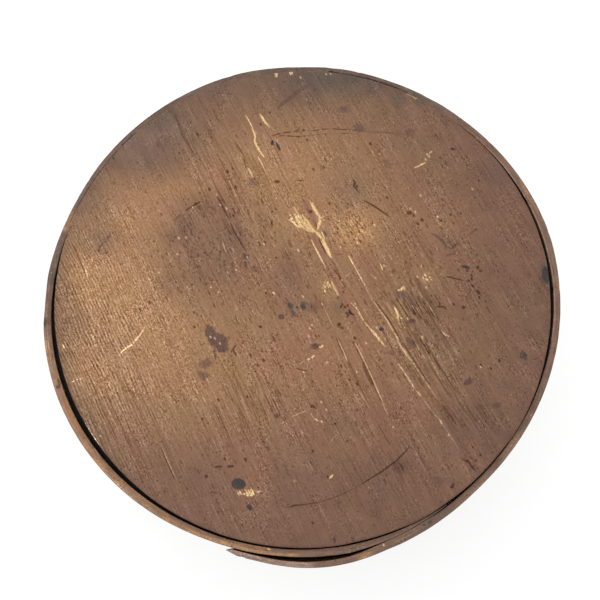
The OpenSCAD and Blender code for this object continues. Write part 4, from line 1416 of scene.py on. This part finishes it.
def band_profile():
    """Each row's share of the thickness, of the rounding there, of the height and of the rounding there."""
    rows = []

    def corner(thick, high, start):
        for step in range(ROUND_STEPS + 1):
            angle = rad(start + 90.0 * step / ROUND_STEPS)
            out = math.cos(angle) + (-1 if thick else 1)
            up = math.sin(angle) + (-1 if high else 1)
            rows.append((thick, out, high, up))

    def face(count, at):
        for step in range(1, count + 1):
            rows.append(at(step / (count + 1)))

    corner(1, 1, 0.0)
    face(TOP_ROWS, lambda f: (1 - f, 2 * f - 1, 1, 0))
    corner(0, 1, 90.0)
    face(INNER_ROWS, lambda f: (0, 0, 1 - f, 2 * f - 1))
    corner(0, 0, 180.0)
    face(FOOT_ROWS, lambda f: (f, 1 - 2 * f, 0, 0))
    corner(1, 0, 270.0)
    face(OUTER_ROWS, lambda f: (1, 0, f, 1 - 2 * f))
    return np.array(rows, dtype=float).T


# Marks along the lid's rim by layer: turn from, turn to, share across from, share across to, strength
RIM_ZONES = {
    # The first gold row, on the outer edge at the front, is golden wood with a painted edge highlight
    "gold": (
        (34.5, 58, 0.55, 1, 0.6), (40, 113, 0, 1, 0.3), (50, 112, 0.55, 1, 0.35), (80, 87, 0.5, 1, 0.7),
        (90, 98, 0, 1, 0.5), (138, 143, 0, 1, 0.42), (274, 284, 0.3, 1, 0.15), (297, 304, 0.55, 1, 0.25),
        (337, 343, 0, 1, 0.2), (378.6, 381.5, 0.3, 0.95, 0.6),
    ),
    "red": (
        (86, 100, 0, 0.7, 0.35),
    ),
    "plum": (
        (50, 63, 0, 0.4, 0.45), (116, 127, 0, 0.5, 0.75), (107, 118, 0, 0.4, 0.6), (250, 266, 0, 1, 0.25),
        (306, 338, 0, 1, 0.26), (284, 304, 0, 1, 0.2), (344, 360, 0, 0.6, 0.4),
    ),
    "grime": (
        (125, 138, 0, 1, 0.55), (145, 172, 0, 1, 0.3), (172, 205, 0, 1, 0.35), (203, 250, 0, 1, 0.6),
        (168, 250, 0.8, 1, 0.5), (358, 368, 0, 1, 0.45), (368, 379, 0, 1, 0.25), (382, 388, 0, 1, 0.15),
        (408, 410, 0, 1, 0.3),
    ),
    # These two dark lines are painted shade on the rim's top, just beyond the lid board's edge where the two
    # meet
    "dent": (
        (219, 240, 0.24, 0.43, 0.85), (140, 168, 0.28, 0.4, 0.8),
    ),
    # At turns 262 to 314 the rose and fresh rows on the inner edge are worn, paler wood with a painted edge
    # highlight
    "rose": (
        (262, 314, 0, 0.16, 0.6), (391, 410, 0, 1, 0.66),
    ),
    "fresh": (
        (262, 314, 0, 0.16, 0.35),
    ),
}

# Spots on the lid's rim by layer: turn, share across, half length in degrees, half width across, strength
RIM_SPOTS = {
    "ink": (
        (116, 0.8, 1.3, 0.35, 0.55), (366.5, 0.3, 0.4, 0.25, 0.6), (365.2, 0.45, 0.9, 0.3, 0.5),
    ),
    "stain": (
        (101, 0.45, 0.5, 0.35, 0.9), (102, 0.25, 1.2, 0.15, 0.8),
    ),
    "red": (
        (84.5, 0.75, 1.4, 0.12, 0.9),
    ),
    "scratch": (
        (40.3, 0.22, 0.4, 0.13, 1), (376, 0.3, 0.25, 0.2, 0.9),
    ),
    "raw": (
        (40.3, 0.22, 0.4, 0.13, 0.5), (332.2, 0.65, 0.3, 0.14, 0.7), (376, 0.3, 0.25, 0.2, 0.55),
        (127.5, 0.6, 0.2, 0.12, 0.6),
    ),
    "dent": (
        (40.9, 0.42, 0.9, 0.1, 0.6),
    ),
    "fresh": (
        (138.5, 0.6, 0.5, 0.2, 0.7),
    ),
}

# How softly a zone begins and ends, along the rim in degrees and across it, and how mottled it is
ZONE_ENDS = 1.0
ZONE_EDGE = 0.12
ZONE_MOTTLE = 2.0

# How ragged a spot is, and where it is full and gone
SPOT_RAGGED = 0.6
SPOT_FULL = 0.6
SPOT_NONE = 1.2

# A chip at the tip of the lap, and how far down it is full and gone
CHIP_TURN = 405.3
CHIP_HALF = 0.6
CHIP_FLAT = 0.3
CHIP_DEPTH = 0.4
CHIP_DOWN = (3.0, 6.0)

# Where the rim has been left fuller: the turn, half its length in degrees and the extra thickness
RIM_SWELLS = (
    (96.0, 46.0, 0.6), (178.0, 34.0, 0.6), (233.0, 28.0, 0.65), (276.0, 26.0, 0.5),
)
BOX_ROOM = 0.03
LEAST_SHARE = 0.01


def swell(band, turns):
    """Extra thickness of the lid's rim beyond its lap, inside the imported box."""
    fuller = 0.0 * turns
    for middle, reach, extra in RIM_SWELLS:
        fuller = fuller + extra * fade(np.abs(turns - middle), reach / 2, reach)
    outer = band.outside_r(turns)
    angle = rad(LAP_DIR - turns)
    x = np.cos(angle)
    y = np.sin(angle)
    box_x = np.where(x > 0, cad_box[1][0], -cad_box[0][0]) / MM - BOX_ROOM
    box_y = np.where(y > 0, cad_box[1][1], -cad_box[0][1]) / MM - BOX_ROOM
    reach_x = box_x / np.maximum(np.abs(x), LEAST_SHARE)
    reach_y = box_y / np.maximum(np.abs(y), LEAST_SHARE)
    return np.clip(fuller, 0.0, np.maximum(np.minimum(reach_x, reach_y) - outer, 0.0))


# Steps along a band at its tip, its start and its chip
TIP_STEPS = 30
START_STEPS = 6
CHIP_STEPS = 17

# Noise on a band: cells to a millimetre along, to its thickness and to a millimetre up, shift and octaves
BAND_NOISE = {
    "fibres": (0.12, 3.0, 0.25, 9, 3),
    "dents": (0.22, 1.0, 0.05, 80, 2),
    "patches": (0.03, 0.0, 0.04, 200, 3),
    "mottle": (0.55, 2.5, 0.0, 140, 3),
    "blotches": (0.3, 1.5, 0.0, 170, 2),
}

# Rounding of a band's edges: cells to a millimetre, least and extra share, less near a lap, and the most
ROUND_CELLS = 0.09
ROUND_LEAST = 0.6
ROUND_MORE = 0.8
ROUND_LAPPED = 0.85
ROUND_MOST = 0.42
LAP_NEAR = 5.0

# Where a band's top begins below its height and its outer face begins in its thickness, and the runs to full
TOP_FROM = 1.2
TOP_RUN = 0.9
OUTER_FROM = 0.6
OUTER_RUN = 0.4

# Wear: depth of fibres and of dents in the top, noise from which dents come in, depth in faces of a thickness
FIBRE_DEPTH = 0.16
DENT_DEPTH = 0.22
DENT_FROM = 0.62
DENT_RUN = 0.25
FACE_DEPTH = 0.12
FACE_THICK = 1.5

# Tints on the outer face and on the top: layer, strength, noise, where it comes in and the run to full
FACE_TINTS = (("plum", 0.5, "patches", 0.35, 0.3), ("gold", 0.35, "patches", 0.55, -0.3))
TOP_TINTS = (
    ("gold", 0.12, "blotches", 0.58, 0.12), ("grime", 0.15, "blotches", 0.36, -0.1),
    ("groove", 0.3, "fibres", 0.58, 0.2), ("ridge", 0.25, "fibres", 0.4, -0.2),
)
INNER_FRESH = 0.75
INNER_REACH = 0.35
CORNER_GRIME = 0.4
CORNER_FROM = 0.85
CORNER_RUN = 0.13

# Stains round nail heads: strength, stretch along the band, raggedness, sizes where one is full and gone
HALO_INK = 0.6
HALO_LONG = 3.2
HALO_RAGGED = 2.5
HALO_FULL = 0.5
HALO_NONE = 1.7

# Painted shade in the slit beside the lid board: run up, clear top, shares of the thickness, degrees at the
# lap
SLIT_SHADE_RUN = 0.5
SLIT_SHADE_CLEAR = 0.2
SLIT_SHADE_FULL = 0.05
SLIT_SHADE_NONE = 0.12
SLIT_SHADE_ENDS = 3.0


def make_band(name, band, height, foot, round_edge, step, chip, zones, spots, pins, slit_shade_depth, body, node):
    """A bent band with worn edges, as one closed strip."""
    end = band.end_turn()
    tip = end - band.arc(END_BEVEL)
    turns = np.unique(np.concatenate((
        np.arange(0.0, tip, step),
        np.linspace(tip, end, TIP_STEPS),
        np.linspace(0.0, 1.0, START_STEPS),
        np.linspace(CHIP_TURN - 2 * CHIP_HALF, CHIP_TURN + 2 * CHIP_HALF, CHIP_STEPS) if chip else (),
    )))
    thick_share, thick_round, high_share, high_round = band_profile()
    width = len(thick_share)
    wear = Noise(seed=60)
    t = turns[:, None]
    along = t / 180.0 * math.pi * band.radius
    thick = band.thickness(turns)[:, None]
    if chip:
        thick = thick + swell(band, turns)[:, None]
    lapped = fade(t, band.arc(band.skive), band.arc(band.lap)) + ease((t - 360.0 + LAP_NEAR) / LAP_NEAR)
    rounding = round_edge * (ROUND_LEAST + ROUND_MORE * wear.at(along * ROUND_CELLS, 0 * t))
    rounding = rounding * (1 - ROUND_LAPPED * np.clip(lapped, 0.0, 1.0))
    rounding = np.minimum(rounding, ROUND_MOST * thick)
    offset = thick * thick_share + rounding * thick_round
    level = height * high_share + rounding * high_round
    across = offset / thick
    on_top = ease((level - (height - TOP_FROM)) / TOP_RUN)
    outer = ease((across - OUTER_FROM) / OUTER_RUN)
    noise = {}

    def add_noise(*kinds):
        for kind in kinds:
            to_along, to_thick, to_high, shift, octaves = BAND_NOISE[kind]
            up = across * to_thick + level * to_high + shift
            noise[kind] = wear.rough(along * to_along + 0 * across, up, octaves)

    add_noise("fibres", "dents")
    dented = DENT_DEPTH * ease((noise["dents"] - DENT_FROM) / DENT_RUN)
    level = level - on_top * (FIBRE_DEPTH * noise["fibres"] + dented)
    offset = offset - outer * FACE_DEPTH * noise["dents"] * np.minimum(1, thick / FACE_THICK)
    if chip:
        bite = fade(np.abs(t - CHIP_TURN), CHIP_FLAT * CHIP_HALF, CHIP_HALF)
        bite = bite * fade(height - level, *CHIP_DOWN)
        offset = offset - CHIP_DEPTH * bite * outer
    radius = band.inside_r(t, level / height) + offset
    points = band.place(radius, t + 0 * across, foot + level).reshape(-1, 3)

    index = np.arange(len(turns) * width).reshape(len(turns), width)
    after = np.roll(index, -1, axis=1)
    quads = np.stack((index[:-1], index[1:], after[1:], after[:-1]), axis=-1).reshape(-1, 4)
    faces = quads.tolist() + [index[0].tolist(), index[-1].tolist()]

    grain = np.stack((along + 0 * across, level, offset), axis=-1).reshape(-1, 3)
    layers = {layer: np.zeros(across.shape) for layer in LAYERS}

    def lay(layer, share):
        layers[layer] = 1 - (1 - layers[layer]) * (1 - share)

    def tint(tints, where):
        for layer, strength, kind, start, run in tints:
            lay(layer, strength * where * ease((noise[kind] - start) / run))

    add_noise("patches", "mottle", "blotches")
    tint(FACE_TINTS, (1 - on_top) * outer)
    lay("fresh", INNER_FRESH * fade(across, 0.0, INNER_REACH) * (1 - on_top))
    for layer, start, stop, inner_share, outer_share, strength in rows_of(zones):
        inside = ease((t - start + ZONE_ENDS) / (2 * ZONE_ENDS)) * fade(t, stop - ZONE_ENDS, stop + ZONE_ENDS)
        begun = ease((across - inner_share) / ZONE_EDGE + 0.5)
        banded = begun * fade((across - outer_share) / ZONE_EDGE, -0.5, 0.5)
        lay(layer, np.clip(on_top * inside * banded * strength * ZONE_MOTTLE * noise["mottle"], 0.0, 1.0))
    tint(TOP_TINTS, on_top)
    lay("grime", on_top * CORNER_GRIME * ease((across - CORNER_FROM) / CORNER_RUN))
    for layer, turn, share, length, wide, strength in rows_of(spots):
        far = np.hypot((t - turn) / length, (across - share) / wide) + SPOT_RAGGED * (noise["fibres"] - 0.5)
        lay(layer, on_top * strength * fade(far, SPOT_FULL, SPOT_NONE))
    for turn, z, size in pins:
        down = np.abs(foot + level - z)
        far = np.hypot((t - turn) / 180.0 * math.pi * band.radius / HALO_LONG, down)
        halo = fade(far + HALO_RAGGED * (noise["fibres"] - 0.5), size * HALO_FULL, size * HALO_NONE)
        lay("ink", HALO_INK * halo * (1 - on_top))
    # Painted shade on the band's inside, in the slit beside the lid board
    if slit_shade_depth:
        deep = ease((level - height + slit_shade_depth) / SLIT_SHADE_RUN) * fade(level, height - SLIT_SHADE_RUN, height - SLIT_SHADE_CLEAR)
        lay("slit_shade", fade(across, SLIT_SHADE_FULL, SLIT_SHADE_NONE) * deep * fade(t, 360.0 - SLIT_SHADE_ENDS, 360.0))
    layers = {layer: values.ravel() for layer, values in layers.items()}
    add_piece(name, points, faces, BAND_WOOD, body, node, grain, layers)


# Nails

# Sides of a nail, and how uneven it is round
PIN_SIDES = 20
PIN_WOBBLE = 0.03
WOBBLE_WAVES = 3
WOBBLE_SHIFT = 40


def tube(rings):
    """A closed skin over rings: each has a middle in X and Z, an axis angle and a radius."""
    around = np.arange(PIN_SIDES) * 2 * math.pi / PIN_SIDES
    points = []
    for x, z, axis, radius in rings:
        reach = radius * (1 + PIN_WOBBLE * np.sin(WOBBLE_WAVES * around + WOBBLE_SHIFT * radius))
        side = reach * np.cos(around)
        lift = reach * np.sin(around)
        points.append(np.stack((x - lift * math.sin(axis), side, z + lift * math.cos(axis)), axis=1))
    index = np.arange(len(rings) * PIN_SIDES).reshape(len(rings), PIN_SIDES)
    faces = [index[0].tolist(), index[-1].tolist()]
    for first, second in zip(index, index[1:]):
        faces += ring_quads(first, second)
    return np.concatenate(points), faces


# A tack's head: shares of its radius from the middle out, the dome's share of its thickness and its roundness
HEAD_STEPS = (0.12, 0.3, 0.5, 0.7, 0.85, 0.95, 1.0)
DOME_SHARE = 0.6
DOME_ROUND = 0.96
HEAD_SKIRT = 0.75
HEAD_UNDER = 0.96

# Its neck below the head, its bend, and its leg: shares of the shank's radius
NECK_SHARE = 1.5
NECK_LENGTH = 0.4
BEND_SHARE = 1.25
BEND_STEPS = 4
BEND_THINNER = 0.04
LEG_STEPS = (0.35, 0.7, 0.9, 1.0)
LEG_START = 0.84
LEG_TIP = 0.12
LEG_TAPER = 1.4


def tack_rings(grip):
    """A tack along X through a grip of wood, its head outside and its point turned down inside."""
    top = grip + TACK_PROUD
    head_r = TACK_HEAD_D / 2
    shank = TACK_D / 2
    leg_x = shank - CLINCH_PROUD
    rings = []
    for step in HEAD_STEPS:
        drop = TACK_HEAD_T * DOME_SHARE * (1 - math.sqrt(1 - (step * DOME_ROUND) ** 2))
        rings.append((top - drop, 0.0, math.pi, head_r * step))
    rings.append((top - TACK_HEAD_T * HEAD_SKIRT, 0.0, math.pi, head_r * HEAD_UNDER))
    rings.append((top - TACK_HEAD_T, 0.0, math.pi, shank * NECK_SHARE))
    rings.append((top - TACK_HEAD_T - NECK_LENGTH, 0.0, math.pi, shank))
    bend = shank * BEND_SHARE
    for step in range(BEND_STEPS + 1):
        turn = step / BEND_STEPS * math.pi / 2
        x = leg_x + bend - bend * math.sin(turn)
        z = -bend * (1 - math.cos(turn))
        rings.append((x, z, math.pi + turn, shank * (1 - BEND_THINNER * step)))
    for share in LEG_STEPS:
        radius = shank * mix(LEG_START, LEG_TIP, share**LEG_TAPER)
        rings.append((leg_x, -mix(bend, CLINCH_LEN, share), 1.5 * math.pi, radius))
    return rings


# A brad's head and shank: depth and share of its radius
BRAD_HEAD = ((0.04, 0.15), (0.06, 0.6), (0.12, 0.9), (0.3, 1.0), (0.7, 0.9))
BRAD_SHANK = ((1.1, 1.0), (BRAD_LEN * 0.8, 0.9), (BRAD_LEN, 0.15))


def brad_rings():
    """A brad along X from the face of a band inwards."""
    rings = [(-depth, 0.0, math.pi, BRAD_HEAD_D / 2 * share) for depth, share in BRAD_HEAD]
    return rings + [(-depth, 0.0, math.pi, BRAD_D / 2 * share) for depth, share in BRAD_SHANK]


def make_pins(name, places, body, node):
    """A group of nails: each place has a turn, a radius, a height and rings."""
    all_points = []
    all_faces = []
    count = 0
    for turn, radius, z, rings in places:
        points, faces = tube(rings)
        angle = rad(LAP_DIR - turn)
        x = (radius + points[:, 0]) * math.cos(angle) - points[:, 1] * math.sin(angle)
        y = (radius + points[:, 0]) * math.sin(angle) + points[:, 1] * math.cos(angle)
        all_points.append(np.stack((x, y, z + points[:, 2]), axis=1))
        all_faces += [[corner + count for corner in face] for face in faces]
        count += len(points)
    points = np.concatenate(all_points)
    add_piece(name, points, all_faces, IRON, body, node, points, {})


def end_heights(count, low, high):
    return [mix(low, high, (i + 0.5) / count) for i in range(count)]


def root_heights(count, low, high):
    return [mix(low, high, i / count) for i in range(1, count)]


def tack_row(band, along, heights, foot, height):
    turn = band.arc(along)
    inner = float(band.inside_r(np.array(turn)))
    row = []
    for z in heights:
        outer = float(band.outside_r(np.array(360.0 + turn), (z - foot) / height))
        row.append((turn, inner, z, tack_rings(outer - inner)))
    return row


def brad_ring(band, z):
    start = band.arc(band.lap + BRAD_INSET)
    stop = 360.0 - band.arc(LAP_LEAD + BRAD_INSET)
    turns = [mix(start, stop, i / (BRAD_COUNT - 1)) for i in range(BRAD_COUNT)]
    fuller = swell(band, np.array(turns)) if band is LID_RIM else np.zeros(BRAD_COUNT)
    outer = band.outside_r(np.array(turns)) + fuller
    return [(turn, float(radius), z, brad_rings()) for turn, radius in zip(turns, outer)]


lid_end_heights = end_heights(LID_TACKS, LID_RIM_Z, LID_BOARD_Z)
lid_root_heights = root_heights(LID_TACKS, LID_RIM_Z, LID_BOARD_Z)
lid_end_row = tack_row(LID_RIM, LID_LAP - END_ROW_INSET, lid_end_heights, LID_RIM_Z, LID_BAND_H)
lid_root_row = tack_row(LID_RIM, LID_ROOT_ROW, lid_root_heights, LID_RIM_Z, LID_BAND_H)
lid_brads = brad_ring(LID_RIM, LID_BRAD_Z)
side_end_heights = end_heights(SIDE_TACKS, BOTTOM_T, SIDE_H)
side_root_heights = root_heights(SIDE_TACKS, BOTTOM_T, SIDE_H)
side_end_row = tack_row(SIDE_RIM, SIDE_LAP - END_ROW_INSET, side_end_heights, 0.0, SIDE_H)
side_root_row = tack_row(SIDE_RIM, SIDE_ROOT_ROW, side_root_heights, 0.0, SIDE_H)
bottom_brads = brad_ring(SIDE_RIM, BOTTOM_BRAD_Z)


def pin_marks(tacks, brads):
    """Places of nail heads on the outside of a band: turn, height and size."""
    lapped = [(turn + 360.0, z, TACK_HEAD_D / 2) for turn, _, z, _ in tacks]
    return lapped + [(turn, z, BRAD_HEAD_D / 2) for turn, _, z, _ in brads]


BOTTOM_CELLS = 160
BOTTOM_EDGE = ((7.0, 0.0), (5.0, 0.0), (3.0, 0.0), (UNDER_EASE, 1.0))

# The bottom board's worn outline, upper edge and furrows: depths, and cells to a degree and a millimetre
BOTTOM_WEAR = 0.2
WEAR_CELLS = 0.2
BOTTOM_EASE = 0.6
BOTTOM_FURROW = 0.12
BOTTOM_ALONG = 0.02
BOTTOM_ACROSS = 0.4

# Its patches, and its tints: strength, noise from which one comes in and the run to full
PATCH_CELLS = 0.02
PATCH_SHIFT = 50
BOTTOM_GROOVE = (0.5, 0.5, 0.2)
BOTTOM_GRIME = (0.5, 0.5, 0.25)
BOTTOM_STAIN = (0.35, 0.4, -0.15)
BOTTOM_FRESH = 0.5


def make_bottom_board():
    noise = Noise(seed=70)

    def furrows(grain):
        return noise.rough(grain[:, 0] * BOTTOM_ALONG, grain[:, 1] * BOTTOM_ACROSS, 3)

    def worn(angle):
        return BOTTOM_WEAR * noise.at(np.mod(np.degrees(angle), 360.0) * WEAR_CELLS, 0 * angle)

    def eased(angle):
        return BOTTOM_EASE + 0 * angle

    def carve(x, y):
        return BOTTOM_FURROW * furrows(grain_of(np.stack((x, y, 0 * x), axis=1)))

    def foot(angle):
        return BOTTOM_BOARD_R - worn(angle)

    def tint(value, strength, start, run):
        return strength * ease((value - start) / run)

    points, faces, top = board(
        BOTTOM_BOARD_R, BOTTOM_T, 0.0, BOTTOM_CELLS, worn, eased, carve, BOTTOM_EDGE, foot,
    )
    grain = grain_of(points)
    patch = noise.rough(points[:, 0] * PATCH_CELLS + PATCH_SHIFT, points[:, 1] * PATCH_CELLS, 3)
    layers = {layer: np.zeros(len(points)) for layer in LAYERS}
    layers["groove"] = tint(furrows(grain), *BOTTOM_GROOVE)
    layers["fresh"] = BOTTOM_FRESH * top
    layers["grime"] = tint(patch, *BOTTOM_GRIME) * (1 - BOTTOM_FRESH * top)
    layers["stain"] = tint(patch, *BOTTOM_STAIN)
    name = "bottom_board_fine"
    add_piece(name, points, faces, BOTTOM_WOOD, "box", "bottom_board", grain, layers)


make_lid_board()
# The lid band gets painted shade in the slit beside the lid board, from the board's underside up
make_band(
    "lid_band_fine", LID_RIM, LID_BAND_H, LID_RIM_Z, round_edge=0.32, step=0.4, chip=True,
    zones=RIM_ZONES, spots=RIM_SPOTS, pins=pin_marks(lid_end_row + lid_root_row, lid_brads),
    slit_shade_depth=LID_BOARD_T - LID_BOARD_PROUD, body="lid", node="lid_band",
)
make_band(
    "side_band_fine", SIDE_RIM, SIDE_H, 0.0, round_edge=0.6, step=0.8, chip=False,
    zones={}, spots={}, pins=pin_marks(side_end_row + side_root_row, bottom_brads),
    slit_shade_depth=0.0, body="box", node="side_band",
)
make_bottom_board()
make_pins("lid_lap_end_tacks_fine", lid_end_row, "lid", "lid_lap_end_tacks")
make_pins("lid_lap_root_tacks_fine", lid_root_row, "lid", "lid_lap_root_tacks")
make_pins("lid_brads_fine", lid_brads, "lid", "lid_brads")
make_pins("side_lap_end_tacks_fine", side_end_row, "box", "side_lap_end_tacks")
make_pins("side_lap_root_tacks_fine", side_root_row, "box", "side_lap_root_tacks")
make_pins("bottom_brads_fine", bottom_brads, "box", "bottom_brads")

# Floor, light and camera

FLOOR_HALF = 4.0
FLOOR_DROP = 0.0002
FLOOR_SHADE = 0.2
FLOOR_DULL = 0.9
FLOOR_GLOW = 0.78
WHITE = (1.0, 1.0, 1.0, 1.0)
SKY_LEVEL = 1.05
NEAREST = 0.01


def make_floor():
    mesh = bpy.data.meshes.new("floor")
    corners = ((-1, -1), (1, -1), (1, 1), (-1, 1))
    mesh.from_pydata([(x * FLOOR_HALF, y * FLOOR_HALF, -FLOOR_DROP) for x, y in corners], [], [(0, 1, 2, 3)])
    g = Graph("pale_floor")
    mesh.materials.append(g.finish({
        "Base Color": (FLOOR_SHADE, FLOOR_SHADE, FLOOR_SHADE, 1.0),
        "Roughness": FLOOR_DULL,
        "Specular IOR Level": 0.0,
        "Emission Color": WHITE,
        "Emission Strength": FLOOR_GLOW,
    }))
    floor = bpy.data.objects.new("floor", mesh)
    bpy.context.scene.collection.objects.link(floor)


def make_light(name, place, aim, size, power):
    light = bpy.data.lights.new(name, "AREA")
    light.shape = "DISK"
    light.size = size
    light.energy = power
    lamp = bpy.data.objects.new(name, light)
    lamp.location = place
    x, y, z = np.array(aim) - np.array(place)
    lamp.rotation_euler = (math.atan2(math.hypot(x, y), -z), 0.0, math.atan2(-x, y))
    bpy.context.scene.collection.objects.link(lamp)


def make_camera():
    data = bpy.data.cameras.new("photo_camera")
    data.sensor_width = SENSOR
    data.lens = FOCAL * SENSOR / PHOTO_SIDE
    data.clip_start = NEAREST
    camera = bpy.data.objects.new("photo_camera", data)
    camera.location = CAMERA_AT * MM
    camera.rotation_euler = (rad(90.0 - CAMERA_DIP), 0.0, 0.0)
    bpy.context.scene.collection.objects.link(camera)
    bpy.context.scene.camera = camera


def make_sky():
    world = bpy.data.worlds.new("studio")
    world.use_nodes = True
    shade = world.node_tree.nodes["Background"]
    shade.inputs["Color"].default_value = WHITE
    shade.inputs["Strength"].default_value = SKY_LEVEL
    bpy.context.scene.world = world


make_floor()
make_light("soft_box", place=(-0.5, 0.4, 1.7), aim=(0.0, 0.0, 0.1), size=1.8, power=20.0)
make_sky()
make_camera()
bpy.context.scene.view_settings.view_transform = "Standard"
